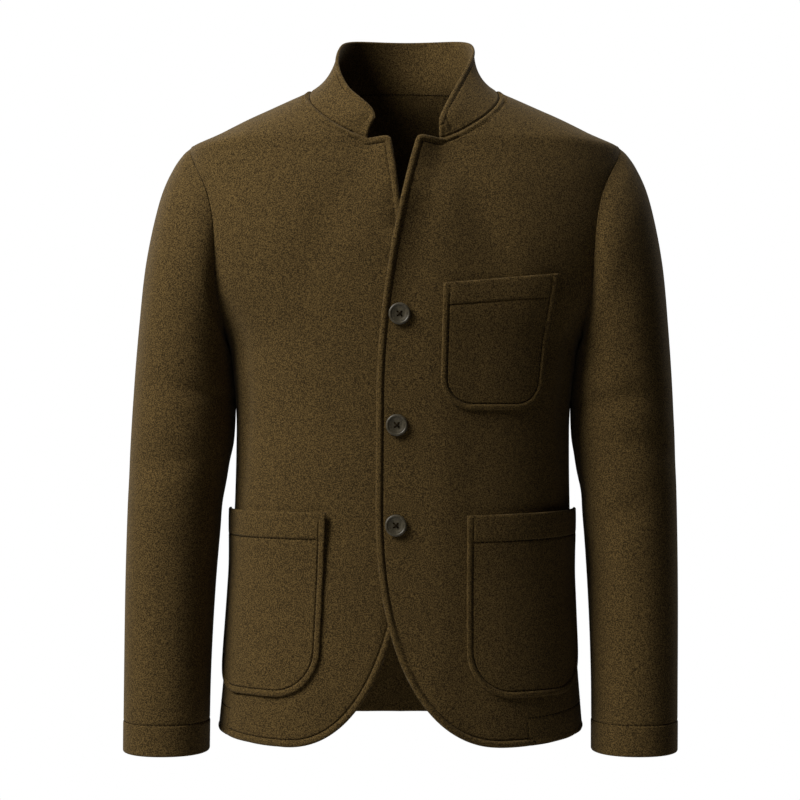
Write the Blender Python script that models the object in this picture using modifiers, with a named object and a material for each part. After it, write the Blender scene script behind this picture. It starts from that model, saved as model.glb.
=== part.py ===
"""A wool jacket with a stand collar, three patch pockets and three buttons, filled out as worn.

Metres, +Z up. The front faces -Y and the wearer's left is +X. The origin lies between the
shoulders, just below the foot of the collar at the sides of the neck.
"""
import math

import bmesh
import bpy
import numpy as np
from mathutils import Matrix, Vector
from mathutils.geometry import delaunay_2d_cdt

OBJECT_NAME = "jacket"

# Cloth and gaps
WALL = 0.0024
COLLAR_WALL = 0.0026
POCKET_WALL = 0.0022
SEAM_GAP = 0.0004
SHOULDER_GAP = 0.0009
SLEEVE_GAP = 0.0013
LYING_GAP = 0.0007
POCKET_GAP = 0.0010

# Heights
HEM = -0.6945
HEM_SIDE_RISE = 0.008
HEM_BACK_RISE = 0.005
HEM_RISE_START = 33.0
HEM_RISE_END = 95.0
HEM_FALL_START = 110.0
HEM_FALL_END = 180.0
ARMPIT = -0.262
SHOULDER_TIP = -0.050
NOTCH = -0.053
NECK_SIDE = 0.0075
NECK_BACK = 0.016

# Horizontal sections of the body, hem to neck
BODY_COLUMNS = ("height", "half_width", "front", "back", "squareness")
BODY_SECTIONS = np.array((
    (-0.6945, 0.1985, 0.128, 0.120, 2.35),
    (-0.600, 0.1905, 0.125, 0.116, 2.35),
    (-0.480, 0.1835, 0.121, 0.106, 2.35),
    (-0.365, 0.1810, 0.119, 0.103, 2.35),
    (-0.300, 0.1855, 0.121, 0.110, 2.35),
    (-0.262, 0.1930, 0.122, 0.115, 2.30),
    (-0.205, 0.2280, 0.121, 0.121, 2.30),
    (-0.150, 0.2400, 0.117, 0.122, 2.30),
    (-0.100, 0.2405, 0.108, 0.115, 2.20),
    (-0.050, 0.2335, 0.0925, 0.0990, 2.10),
    (-0.0355, 0.1995, 0.0870, 0.0915, 2.05),
    (-0.0200, 0.1630, 0.0800, 0.0830, 2.00),
    (-0.0040, 0.1270, 0.0720, 0.0745, 2.00),
    (0.0075, 0.1010, 0.0675, 0.0700, 2.00),
    (0.0200, 0.0775, 0.0640, 0.0655, 2.00),
))

# The armhole, in degrees around the body from the front and as heights
ARMHOLE_TURN = 95.0
ARMHOLE_FRONT_REACH = 39.0
ARMHOLE_BACK_REACH = 34.0
ARMHOLE_POINTS = 24
SIDE_SEAM_POINT = 14

# The front edges, as distances from the middle, positive towards the wearer's left
FRONT_COLUMNS = ("notch", "straight", "collar_end", "cut_start", "cut_end")
LEFT_FRONT = dict(zip(FRONT_COLUMNS, (0.0125, -0.0278, 0.0365, -0.432, 0.1125)))
RIGHT_FRONT = dict(zip(FRONT_COLUMNS, (-0.0150, 0.0100, -0.0395, -0.405, -0.1240)))
EDGE_OPEN_LENGTH = 0.27
EDGE_OPEN_POWER = 1.85
CUTAWAY_POWER = 2.28
CUTAWAY_POINTS = 14
LAP_FULL_AT = 0.035
LAP_GONE_AT = 0.080
LAP_TOP = -0.085
LAP_FULL_BELOW = -0.120

# The stand collar
NECK_CENTRE = 0.004
COLLAR_TOP_HALF_WIDTH = 0.0725
COLLAR_TOP_FRONT = 0.080
COLLAR_TOP_BACK = 0.059
COLLAR_TOP_END_TURN = 27.0
COLLAR_TOP_HEIGHT = 0.0725
COLLAR_TOP_DROP = 0.0935
COLLAR_DROP_POWER = 3.5
COLLAR_FLARE = 0.017
COLLAR_SIDE_FLARE = 0.010
COLLAR_GAP = 0.0008
COLLAR_COLUMNS = 36
COLLAR_ROWS = 5

# Sections of the wearer's left sleeve, armhole to cuff
SLEEVE_COLUMNS = ("outer_x", "outer_z", "inner_x", "inner_z", "half_depth", "centre_y")
SLEEVE_SECTIONS = np.array((
    (0.2335, -0.0505, 0.1965, -0.2615, 0.060, 0.000),
    (0.2515, -0.0750, 0.1985, -0.2700, 0.070, 0.000),
    (0.2670, -0.1120, 0.1960, -0.2800, 0.076, 0.000),
    (0.2810, -0.1780, 0.1910, -0.2980, 0.077, -0.001),
    (0.2885, -0.2520, 0.1875, -0.3260, 0.074, -0.003),
    (0.2940, -0.3320, 0.1868, -0.3700, 0.070, -0.006),
    (0.2980, -0.4300, 0.1955, -0.4400, 0.065, -0.011),
    (0.2995, -0.5450, 0.2050, -0.5450, 0.059, -0.020),
    (0.2990, -0.6480, 0.2083, -0.6480, 0.054, -0.029),
    (0.2985, -0.7090, 0.2085, -0.7090, 0.052, -0.034),
))
SLEEVE_RINGS = 19
SLEEVE_FADE_RINGS = 7
SLEEVE_SQUARENESS = 2.15
CAP_TURN = math.radians(65.0)

# Patch pockets: places along the cloth from the middle of the front
POCKET_COLUMNS = ("near_edge", "top", "mouth", "base", "height", "rise", "radius", "slant")
CHEST_POCKET = dict(zip(POCKET_COLUMNS, (0.0405, -0.2080, 0.124, 0.116, 0.1325, 0.012, 0.034, -0.006)))
HIP_POCKET_LEFT = dict(zip(POCKET_COLUMNS, (0.067, -0.4510, 0.168, 0.160, 0.192, 0.004, 0.052, -0.003)))
HIP_POCKET_RIGHT = dict(zip(POCKET_COLUMNS, (0.079, -0.4480, 0.170, 0.160, 0.1945, 0.0005, 0.052, 0.001)))
POCKET_CORNER_POINTS = 7

# Buttons
BUTTON_PLACES = ((-0.0030, -0.240), (-0.0059, -0.356), (-0.0068, -0.461))
BUTTON_RADIUS = 0.0115
BUTTON_RIM = 0.0088
BUTTON_DISH_RADIUS = 0.0070
BUTTON_THICK = 0.0044
BUTTON_DISH = 0.0014
BUTTON_EDGE = 0.0012
BUTTON_STEPS = 24
BUTTON_HOLE_RADIUS = 0.0011
BUTTON_HOLE_FROM_MIDDLE = 0.0021
BUTTON_HOLE_STEPS = 10

# Largest soft folds of the body: turn and height of the middle, lean, half length, half width, depth
BODY_FOLDS = np.array((
    (17.0, -0.130, 14.0, 0.085, 0.016, -0.0035),
    (-16.0, -0.135, -14.0, 0.085, 0.017, -0.0030),
    (68.0, -0.330, 6.0, 0.110, 0.017, -0.0030),
    (-66.0, -0.345, -8.0, 0.120, 0.018, -0.0035),
    (140.0, -0.380, 6.0, 0.140, 0.022, -0.0040),
    (-143.0, -0.390, -5.0, 0.150, 0.022, -0.0040),
))

# Mesh spacing along and across the cloth
COLUMN_STEP = 0.0145
ROW_STEP = 0.030
EDGE_STEP = 0.018
MEAN_RADIUS = 0.16
SHOULDER_STRETCH = 2.4
INSET_SHARE = 0.42
TINY = 0.0005
MERGE_DISTANCE = 1e-7

# Colours and finish, as (colour, roughness)
WOOL = ((0.072, 0.047, 0.018, 1.0), 0.95)
HORN = ((0.030, 0.020, 0.014, 1.0), 0.38)


def clear_scene():
    for item in list(bpy.data.objects):
        bpy.data.objects.remove(item, do_unlink=True)


def smooth_step(start, end, value):
    share = np.clip((value - start) / (end - start), 0.0, 1.0)
    return share * share * (3.0 - 2.0 * share)


def smooth_through(places, values, at):
    """Read a smooth curve through a short table, with no swing past its rows."""
    places = np.asarray(places, float)
    values = np.asarray(values, float)
    runs = np.diff(places)
    slopes = np.diff(values) / runs
    tangents = np.concatenate((slopes[:1], 0.5 * (slopes[1:] + slopes[:-1]), slopes[-1:]))
    turning = slopes[1:] * slopes[:-1] <= 0.0
    tangents[1:-1][turning] = 0.0
    limit = 3.0 * np.minimum(np.abs(slopes[1:]), np.abs(slopes[:-1]))
    tangents[1:-1] = np.clip(tangents[1:-1], -limit, limit)
    at = np.clip(at, places[0], places[-1])
    row = np.clip(np.searchsorted(places, at) - 1, 0, len(runs) - 1)
    share = (at - places[row]) / runs[row]
    rise = values[row + 1] - values[row]
    bend_in = tangents[row] * runs[row] - rise
    bend_out = rise - tangents[row + 1] * runs[row]
    return values[row] + share * rise + share * (1 - share) * ((1 - share) * bend_in + share * bend_out)


def stretched(height):
    """A height counted along the cloth, which runs nearly level over the shoulders."""
    return np.where(height < SHOULDER_TIP, height, SHOULDER_TIP + (height - SHOULDER_TIP) * SHOULDER_STRETCH)


def unstretched(run):
    return np.where(run < SHOULDER_TIP, run, SHOULDER_TIP + (run - SHOULDER_TIP) / SHOULDER_STRETCH)


def body_size(name, height):
    heights = stretched(BODY_SECTIONS[:, 0])
    return smooth_through(heights, BODY_SECTIONS[:, BODY_COLUMNS.index(name)], stretched(height))


def fold_depth(turn, height):
    """The outward move of the body's largest folds, each a soft trough with tapering ends."""
    total = 0.0
    for middle_turn, middle, lean, half_length, half_width, depth in BODY_FOLDS:
        aside = (turn - math.radians(middle_turn)) * MEAN_RADIUS
        along = height - middle
        lean = math.radians(lean)
        across = aside * math.cos(lean) + along * math.sin(lean)
        run = along * math.cos(lean) - aside * math.sin(lean)
        total = total + depth * np.exp(-(across / half_width) ** 2 - (run / half_length) ** 2)
    return total


def body_ring(turn, height):
    """A point of the body's middle surface before folds, at a turn in radians from the front."""
    power = 2.0 / body_size("squareness", height)
    depth = np.where(np.cos(turn) > 0, body_size("front", height), body_size("back", height))
    x = body_size("half_width", height) * np.sign(np.sin(turn)) * np.abs(np.sin(turn)) ** power
    y = -depth * np.sign(np.cos(turn)) * np.abs(np.cos(turn)) ** power
    return np.stack((x, y, height + 0.0 * turn), axis=-1)


def outward(turn, height):
    step = TINY
    around = body_ring(turn + step, height) - body_ring(turn - step, height)
    upward = body_ring(turn, height + step) - body_ring(turn, height - step)
    normal = np.cross(around, upward)
    return normal / np.linalg.norm(normal, axis=-1, keepdims=True)


def body_point(turn, height, lift=0.0):
    move = fold_depth(turn, height) + lift
    return body_ring(turn, height) + outward(turn, height) * np.asarray(move)[..., None]


def front_lap(turn, height):
    """How far the left front stands out where it lies over the right one."""
    aside = body_ring(turn, height)[..., 0]
    share = smooth_step(LAP_GONE_AT, LAP_FULL_AT, aside) * smooth_step(LAP_TOP, LAP_FULL_BELOW, height)
    return (WALL + LYING_GAP) * share


def turn_of(x, height):
    """The turn at which the front of the body has this x."""
    share = np.abs(x) / body_size("half_width", height)
    return np.sign(x) * np.arcsin(share ** (body_size("squareness", height) / 2.0))


def turn_along(run, height):
    """The turn reached after this run of cloth around from the middle of the front."""
    turns = np.linspace(0.0, math.radians(150.0), 200)
    points = body_ring(turns, np.full_like(turns, height))
    runs = np.concatenate(((0.0,), np.cumsum(np.linalg.norm(np.diff(points, axis=0), axis=1))))
    return math.copysign(np.interp(abs(run), runs, turns), run)


def turn_by(turn, height, distance):
    """The turn that moves a point this distance around the body."""
    step = TINY
    around = body_ring(turn + step, height) - body_ring(turn - step, height)
    return distance * 2.0 * step / np.linalg.norm(around)


def neck_height(turn):
    """The height of the collar seam at a turn, from the notch around to the back."""
    degrees = abs(math.degrees(turn))
    share = min(degrees / 90.0, 1.0)
    front = (NOTCH - NECK_SIDE) * (1.0 - max(share - 0.1, 0.0) / 0.9) ** 2
    back = (NECK_BACK - NECK_SIDE) * math.sin(math.radians(max(degrees - 90.0, 0.0))) ** 2
    return NECK_SIDE + front + back


def hem_height(turn):
    """The height of the hem at a turn: lowest at the front, highest at the sides."""
    degrees = math.degrees(abs(turn if turn < math.pi else turn - 2.0 * math.pi))
    side_rise = HEM_SIDE_RISE * smooth_step(HEM_RISE_START, HEM_RISE_END, degrees)
    back_fall = (HEM_SIDE_RISE - HEM_BACK_RISE) * smooth_step(HEM_FALL_START, HEM_FALL_END, degrees)
    return HEM + side_rise - back_fall


def armhole(side):
    """Turns and heights around the armhole from the shoulder tip, forward and under."""
    middle = 0.5 * (SHOULDER_TIP + ARMPIT)
    half = 0.5 * (SHOULDER_TIP - ARMPIT)
    around = 2.0 * np.pi * np.arange(ARMHOLE_POINTS) / ARMHOLE_POINTS
    reach = np.where(np.sin(around) > 0, ARMHOLE_FRONT_REACH, ARMHOLE_BACK_REACH)
    turns = np.radians(ARMHOLE_TURN - reach * np.sin(around))
    return [(side * turn, height) for turn, height in zip(turns, middle + half * np.cos(around))]


def evenly(start, end, step):
    count = max(int(math.ceil(abs(end - start) / step)), 1)
    return np.linspace(start, end, count + 1)


def side_seam(side, from_seam):
    """The side seam from the hem to the armhole, moved off the seam line by half the gap."""
    turn, top = armhole(side)[SIDE_SEAM_POINT]
    heights = evenly(hem_height(turn), top, ROW_STEP)
    return [(turn + side * turn_by(turn, height, from_seam), height) for height in heights]


def shoulder_seam(side, from_seam):
    turn, tip = armhole(side)[0]
    runs = evenly(stretched(neck_height(turn)), stretched(tip), EDGE_STEP)
    heights = unstretched(runs)
    return [(turn + side * turn_by(turn, height, from_seam), height) for height in heights]


def front_edge(front):
    """The front edge from the hem up to the notch, as (x, height)."""
    cut_run = front["cut_end"] - front["straight"]
    falls = np.sin(np.linspace(0.5 * math.pi, 0.0, CUTAWAY_POINTS))
    shares = 1.0 - (1.0 - falls ** CUTAWAY_POWER) ** (1.0 / CUTAWAY_POWER)
    points = [(front["straight"] + cut_run * share, front["cut_start"] + (HEM - front["cut_start"]) * fall)
              for share, fall in zip(shares, falls)]
    for height in evenly(front["cut_start"], NOTCH, ROW_STEP)[1:]:
        share = max(1.0 - (NOTCH - height) / EDGE_OPEN_LENGTH, 0.0) ** EDGE_OPEN_POWER
        points.append((front["straight"] + (front["notch"] - front["straight"]) * share, height))
    return points


def front_outline(front, side):
    """The outline of one front in (turn, height): hem, edge, notch, neck, shoulder, armhole, side."""
    half_gap = -0.5 * SEAM_GAP
    side_points = side_seam(side, half_gap)
    hem_turns = evenly(side_points[0][0], turn_of(front["cut_end"], HEM), EDGE_STEP / MEAN_RADIUS)
    points = [(turn, hem_height(turn)) for turn in hem_turns[:-1]]
    points += [(turn_of(x, height), height) for x, height in front_edge(front)]
    collar_end = turn_of(front["collar_end"], NOTCH)
    shoulder = shoulder_seam(side, -0.5 * SHOULDER_GAP)
    neck_turns = evenly(collar_end, shoulder[0][0], EDGE_STEP / MEAN_RADIUS)
    points += [(turn, neck_height(turn)) for turn in neck_turns[:-1]]
    points += shoulder
    points += armhole(side)[1:SIDE_SEAM_POINT]
    points += side_points[:0:-1]
    return points


def back_outline():
    """The outline of the back in (turn, height), from the left side seam around to the right one."""
    half_gap = 0.5 * SEAM_GAP
    full_turn = 2.0 * math.pi
    left_side = side_seam(1, half_gap)
    right_side = [(full_turn + turn, height) for turn, height in side_seam(-1, half_gap)]
    left_shoulder = shoulder_seam(1, 0.5 * SHOULDER_GAP)
    right_shoulder = [(full_turn + turn, height) for turn, height in shoulder_seam(-1, 0.5 * SHOULDER_GAP)]
    left_hole = armhole(1)[SIDE_SEAM_POINT + 1:]
    right_hole = [(full_turn + turn, height) for turn, height in armhole(-1)[SIDE_SEAM_POINT + 1:]]
    hem_turns = evenly(left_side[0][0], right_side[0][0], EDGE_STEP / MEAN_RADIUS)
    neck_turns = evenly(right_shoulder[0][0], left_shoulder[0][0], EDGE_STEP / MEAN_RADIUS)
    points = [(turn, hem_height(turn)) for turn in hem_turns[:-1]]
    points += right_side
    points += right_hole
    points += right_shoulder[::-1]
    points += [(turn, neck_height(min(turn, full_turn - turn))) for turn in neck_turns[1:-1]]
    points += left_shoulder
    points += left_hole[::-1]
    points += left_side[:0:-1]
    return points


def pocket_outline(pocket, side):
    """A patch pocket's outline in (turn, height), with two rounded lower corners."""
    middle = pocket["near_edge"] + 0.5 * pocket["mouth"]
    half_mouth = 0.5 * pocket["mouth"]
    half_base = 0.5 * pocket["base"]
    radius = pocket["radius"]
    bottom = pocket["top"] - pocket["height"]
    corner = bottom + radius
    far_base = middle + pocket["slant"] + half_base
    near_base = middle + pocket["slant"] - half_base
    far_top = pocket["top"] + pocket["rise"]
    flat = []
    for run in evenly(middle - half_mouth, middle + half_mouth, EDGE_STEP):
        share = (run - middle + half_mouth) / pocket["mouth"]
        flat.append((run, pocket["top"] + pocket["rise"] * share))
    flat += [(far_base + (middle + half_mouth - far_base) * (h - corner) / (far_top - corner), h)
             for h in evenly(far_top, corner, ROW_STEP)[1:-1]]
    for angle in np.linspace(0.0, 0.5 * math.pi, POCKET_CORNER_POINTS):
        run = far_base - radius + radius * math.cos(angle)
        flat.append((run, corner - radius * math.sin(angle)))
    flat += [(run, bottom)
             for run in evenly(far_base - radius, near_base + radius, EDGE_STEP)[1:-1]]
    for angle in np.linspace(0.5 * math.pi, math.pi, POCKET_CORNER_POINTS):
        run = near_base + radius + radius * math.cos(angle)
        flat.append((run, corner - radius * math.sin(angle)))
    flat += [(near_base + (middle - half_mouth - near_base) * (h - corner) / (pocket["top"] - corner), h)
             for h in evenly(corner, pocket["top"], ROW_STEP)[1:-1]]
    return [(turn_along(side * run, height), height) for run, height in flat]


def is_inside(outline, point):
    x, y = point
    crossings = 0
    for (x0, y0), (x1, y1) in zip(outline, np.roll(outline, -1, axis=0)):
        if (y0 > y) != (y1 > y) and x < x0 + (y - y0) * (x1 - x0) / (y1 - y0):
            crossings += 1
    return crossings % 2 == 1


def edge_distance(outline, point):
    starts = outline
    runs = np.roll(outline, -1, axis=0) - starts
    lengths = np.maximum((runs ** 2).sum(axis=1), MERGE_DISTANCE ** 2)
    shares = np.clip(((point - starts) * runs).sum(axis=1) / lengths, 0.0, 1.0)
    return np.linalg.norm(point - starts - runs * shares[:, None], axis=1).min()


def fill_outline(points):
    """Triangles over an outline in (turn, height), on a grid that every panel shares."""
    outline = np.array([(turn * MEAN_RADIUS, stretched(height)) for turn, height in points])
    low = np.floor(outline.min(axis=0) / (COLUMN_STEP, ROW_STEP)).astype(int)
    high = np.ceil(outline.max(axis=0) / (COLUMN_STEP, ROW_STEP)).astype(int)
    inner = []
    for row in range(low[1], high[1] + 1):
        for column in range(low[0], high[0] + 1):
            point = np.array((column * COLUMN_STEP, row * ROW_STEP))
            if is_inside(outline, point) and edge_distance(outline, point) > INSET_SHARE * COLUMN_STEP:
                inner.append(point)
    flat = [Vector(point) for point in outline] + [Vector(point) for point in inner]
    border = [(index, (index + 1) % len(outline)) for index in range(len(outline))]
    places, _, faces, _, _, _ = delaunay_2d_cdt(flat, border, [], 1, MERGE_DISTANCE)
    places = np.array([tuple(place) for place in places])
    return places[:, 0] / MEAN_RADIUS, unstretched(places[:, 1]), [tuple(face) for face in faces]


def finish_material(name, finish):
    colour, roughness = finish
    material = bpy.data.materials.new(name)
    material.use_nodes = True
    shader = material.node_tree.nodes["Principled BSDF"]
    shader.inputs["Base Color"].default_value = colour
    shader.inputs["Roughness"].default_value = roughness
    shader.inputs["Metallic"].default_value = 0.0
    return material


def add_object(name, mesh, parent, finish):
    item = bpy.data.objects.new(name, mesh)
    bpy.data.collections[OBJECT_NAME].objects.link(item)
    item.parent = parent
    mesh.materials.append(finish_material(name, finish))
    return item


def add_cloth(name, points, faces, wall, parent):
    """A cloth wall: an open surface, thickened evenly to both sides."""
    mesh = bpy.data.meshes.new(name)
    mesh.from_pydata([tuple(point) for point in points], [], faces)
    mesh.shade_smooth()
    item = add_object(name, mesh, parent, WOOL)
    thick = item.modifiers.new("wall", "SOLIDIFY")
    thick.thickness = wall
    thick.offset = 0.0
    thick.use_even_offset = True
    return item


def grid_faces(rows, columns, closed):
    """Quads of a grid whose rows run upward and whose columns run around, facing out."""
    last = columns if closed else columns - 1
    faces = []
    for row in range(rows - 1):
        for column in range(last):
            after = (column + 1) % columns
            faces.append((row * columns + column, row * columns + after,
                          (row + 1) * columns + after, (row + 1) * columns + column))
    return faces


def add_front(name, front, side, lapped, parent):
    turns, heights, faces = fill_outline(front_outline(front, side))
    lift = front_lap(turns, heights) if lapped else 0.0
    return add_cloth(name, body_point(turns, heights, lift), faces, WALL, parent)


def add_back(parent):
    turns, heights, faces = fill_outline(back_outline())
    wrapped = np.where(turns > math.pi, turns - 2.0 * math.pi, turns)
    return add_cloth("back", body_point(wrapped, heights), faces, WALL, parent)


def add_pocket(name, pocket, side, lapped, parent):
    turns, heights, faces = fill_outline(pocket_outline(pocket, side))
    lift = 0.5 * (WALL + POCKET_WALL) + POCKET_GAP
    if lapped:
        lift = lift + front_lap(turns, heights)
    return add_cloth(name, body_point(turns, heights, lift), faces, POCKET_WALL, parent)


def collar_points():
    """The collar's middle surface, from the left front end around the back to the right one."""
    rows = []
    left_end = turn_of(LEFT_FRONT["collar_end"], NOTCH)
    right_end = 2.0 * math.pi + turn_of(RIGHT_FRONT["collar_end"], NOTCH)
    top_end = math.radians(COLLAR_TOP_END_TURN)
    feet = np.linspace(left_end, right_end, COLLAR_COLUMNS)
    tops = np.linspace(top_end, 2.0 * math.pi - top_end, COLLAR_COLUMNS)
    columns = []
    for foot_turn, top_turn in zip(feet, tops):
        wrapped = foot_turn - 2.0 * math.pi if foot_turn > math.pi else foot_turn
        height = neck_height(wrapped)
        foot = body_point(np.float64(wrapped), np.float64(height))
        above = body_point(np.float64(wrapped), np.float64(height + TINY))
        lead = (above - foot) / np.linalg.norm(above - foot)
        foot = foot + lead * COLLAR_GAP
        from_back = abs(math.degrees(top_turn) - 180.0) / (180.0 - COLLAR_TOP_END_TURN)
        depth = COLLAR_TOP_FRONT if math.cos(top_turn) > 0 else COLLAR_TOP_BACK
        top = np.array((NECK_CENTRE + COLLAR_TOP_HALF_WIDTH * math.sin(top_turn),
                        -depth * math.cos(top_turn),
                        COLLAR_TOP_HEIGHT - COLLAR_TOP_DROP * from_back ** COLLAR_DROP_POWER))
        flare = COLLAR_FLARE + COLLAR_SIDE_FLARE * math.sin(wrapped) ** 2
        knee = foot + lead * flare
        columns.append((foot, knee, top))
    for share in np.linspace(0.0, 1.0, COLLAR_ROWS):
        for foot, knee, top in columns:
            rows.append(foot * (1 - share) ** 2 + knee * 2 * share * (1 - share) + top * share ** 2)
    return rows


def add_collar(parent):
    faces = grid_faces(COLLAR_ROWS, COLLAR_COLUMNS, closed=False)
    return add_cloth("collar", collar_points(), faces, COLLAR_WALL, parent)


def sleeve_size(name, station):
    stations = np.arange(len(SLEEVE_SECTIONS), dtype=float)
    return smooth_through(stations, SLEEVE_SECTIONS[:, SLEEVE_COLUMNS.index(name)], station)


def sleeve_section(station, around):
    """Points of a slanting oval section of the left sleeve, from its top forward and under."""
    outer = np.array((sleeve_size("outer_x", station), sleeve_size("outer_z", station)))
    inner = np.array((sleeve_size("inner_x", station), sleeve_size("inner_z", station)))
    power = 2.0 / SLEEVE_SQUARENESS
    along = np.sign(np.cos(around)) * np.abs(np.cos(around)) ** power
    across = np.sign(np.sin(around)) * np.abs(np.sin(around)) ** power
    middle = 0.5 * (outer + inner)
    half = 0.5 * (outer - inner)
    x = middle[0] + half[0] * along
    z = middle[1] + half[1] * along
    y = sleeve_size("centre_y", station) - sleeve_size("half_depth", station) * across
    return np.stack((x, y, z), axis=-1)


def sleeve_head():
    """The sleeve's first ring: in line with the shoulder on top, lapped over the armhole below it."""
    points = []
    for index, (turn, height) in enumerate(armhole(1)):
        around = 2.0 * math.pi * index / ARMHOLE_POINTS
        from_top = min(around, 2.0 * math.pi - around)
        lapped = smooth_step(0.0, CAP_TURN, from_top)
        middle = 0.5 * (SHOULDER_TIP + ARMPIT)
        inward = SLEEVE_GAP / abs(SHOULDER_TIP - middle)
        low = height + (middle - height) * inward
        points.append(body_point(np.float64(turn), low, (WALL + SEAM_GAP) * lapped))
    return np.array(points)


def add_sleeve(name, side, parent):
    around = 2.0 * np.pi * np.arange(ARMHOLE_POINTS) / ARMHOLE_POINTS
    head = sleeve_head()
    off_oval = head - sleeve_section(0.0, around)
    rings = []
    for ring in range(SLEEVE_RINGS):
        station = (len(SLEEVE_SECTIONS) - 1) * ring / (SLEEVE_RINGS - 1)
        fade = 1.0 - smooth_step(0.0, SLEEVE_FADE_RINGS, ring)
        rings.append(sleeve_section(station, around) + off_oval * fade)
    points = np.concatenate(rings[::-1])
    points[:, 0] *= side
    faces = grid_faces(SLEEVE_RINGS, ARMHOLE_POINTS, closed=True)
    if side > 0:
        faces = [face[::-1] for face in faces]
    return add_cloth(name, points, faces, WALL, parent)


def hole_cutter(name, button, cutters):
    """Four pins that cut the thread holes of one button."""
    shape = bmesh.new()
    for across in (-1, 1):
        for along in (-1, 1):
            middle = Vector((across, along, 0)) * BUTTON_HOLE_FROM_MIDDLE
            bmesh.ops.create_cone(shape, cap_ends=True, segments=BUTTON_HOLE_STEPS,
                                  radius1=BUTTON_HOLE_RADIUS, radius2=BUTTON_HOLE_RADIUS,
                                  depth=4.0 * BUTTON_THICK,
                                  matrix=Matrix.Translation(middle))
    mesh = bpy.data.meshes.new(name)
    shape.to_mesh(mesh)
    shape.free()
    cutter = bpy.data.objects.new(name, mesh)
    cutters.objects.link(cutter)
    cutter.parent = button
    cutter.hide_render = True
    cutter.display_type = "WIRE"
    return cutter


def add_button(name, middle, height, parent, cutters):
    """A dished button, turned from its half profile and set on the left front."""
    profile = (
        (0.0, BUTTON_THICK - BUTTON_DISH),
        (BUTTON_DISH_RADIUS, BUTTON_THICK - BUTTON_DISH),
        (BUTTON_RIM, BUTTON_THICK),
        (BUTTON_RADIUS - BUTTON_EDGE, BUTTON_THICK),
        (BUTTON_RADIUS, BUTTON_THICK - BUTTON_EDGE),
        (BUTTON_RADIUS, BUTTON_EDGE),
        (BUTTON_RADIUS - BUTTON_EDGE, 0.0),
        (0.0, 0.0),
    )
    mesh = bpy.data.meshes.new(name)
    edges = [(index, index + 1) for index in range(len(profile) - 1)]
    mesh.from_pydata([(x, 0.0, z) for x, z in profile], edges, [])
    item = add_object(name, mesh, parent, HORN)
    turned = item.modifiers.new("turned", "SCREW")
    turned.steps = BUTTON_STEPS
    turned.render_steps = BUTTON_STEPS
    turned.use_merge_vertices = True
    turned.merge_threshold = 0.00001
    holes = item.modifiers.new("holes", "BOOLEAN")
    holes.operation = "DIFFERENCE"
    holes.object = hole_cutter(f"{name}_holes", item, cutters)
    turn = turn_of(middle, height)
    lift = front_lap(turn, height) + 0.5 * WALL + LYING_GAP
    item.location = Vector(body_point(turn, np.float64(height), lift))
    item.rotation_mode = "QUATERNION"
    item.rotation_quaternion = Vector(outward(turn, np.float64(height))).to_track_quat("Z", "Y")
    return item


def build():
    clear_scene()
    collection = bpy.data.collections.new(OBJECT_NAME)
    bpy.context.scene.collection.children.link(collection)
    cutters = bpy.data.collections.new("cutters")
    bpy.context.scene.collection.children.link(cutters)
    held = bpy.data.objects.new("held", None)
    collection.objects.link(held)
    add_front("front_left", LEFT_FRONT, 1, True, held)
    add_front("front_right", RIGHT_FRONT, -1, False, held)
    add_back(held)
    add_collar(held)
    add_sleeve("sleeve_left", 1, held)
    add_sleeve("sleeve_right", -1, held)
    add_pocket("pocket_chest", CHEST_POCKET, 1, True, held)
    add_pocket("pocket_hip_left", HIP_POCKET_LEFT, 1, True, held)
    add_pocket("pocket_hip_right", HIP_POCKET_RIGHT, -1, False, held)
    for number, (middle, height) in enumerate(BUTTON_PLACES, start=1):
        add_button(f"button_{number}", middle, height, held, cutters)


build()
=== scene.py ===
import math

import bpy
import numpy as np
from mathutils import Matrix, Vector, kdtree
from mathutils.geometry import delaunay_2d_cdt


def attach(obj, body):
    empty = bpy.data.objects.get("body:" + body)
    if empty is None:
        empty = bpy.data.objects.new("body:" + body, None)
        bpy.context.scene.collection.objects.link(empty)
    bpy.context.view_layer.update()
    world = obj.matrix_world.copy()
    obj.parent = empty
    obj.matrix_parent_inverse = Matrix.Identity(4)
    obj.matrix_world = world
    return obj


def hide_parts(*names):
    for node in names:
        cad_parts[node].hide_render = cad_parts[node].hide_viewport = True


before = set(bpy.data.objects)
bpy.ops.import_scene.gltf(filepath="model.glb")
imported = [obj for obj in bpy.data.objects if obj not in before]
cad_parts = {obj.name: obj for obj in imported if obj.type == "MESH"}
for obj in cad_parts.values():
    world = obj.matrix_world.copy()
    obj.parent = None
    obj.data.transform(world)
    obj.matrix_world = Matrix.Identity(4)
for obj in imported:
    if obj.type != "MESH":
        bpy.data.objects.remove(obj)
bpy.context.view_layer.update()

# Camera and stage
PHOTO_SIDE = 800
METRES_PER_PIXEL = 0.0011
CAMERA_DISTANCE = 2.40
CAMERA_HEIGHT = -0.330
CAMERA_SHIFT = -0.0031
SENSOR = 36.0
FLOOR = -1.75

# Cloth
HALF_WALL = 0.0013
POCKET_HALF = 0.0012
LAP = 0.0032

# Heights
HEM = -0.6945
HEM_SIDE_RISE = 0.008
HEM_BACK_RISE = 0.005
HEM_RISE_TURNS = (33.0, 95.0)
HEM_FALL_TURNS = (110.0, 180.0)
ARMPIT = -0.262
SHOULDER_TIP = -0.050
NOTCH = -0.053
NECK_SIDE = 0.0075
NECK_BACK = 0.016
NECK_LEVEL_SHARE = 0.1

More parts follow.
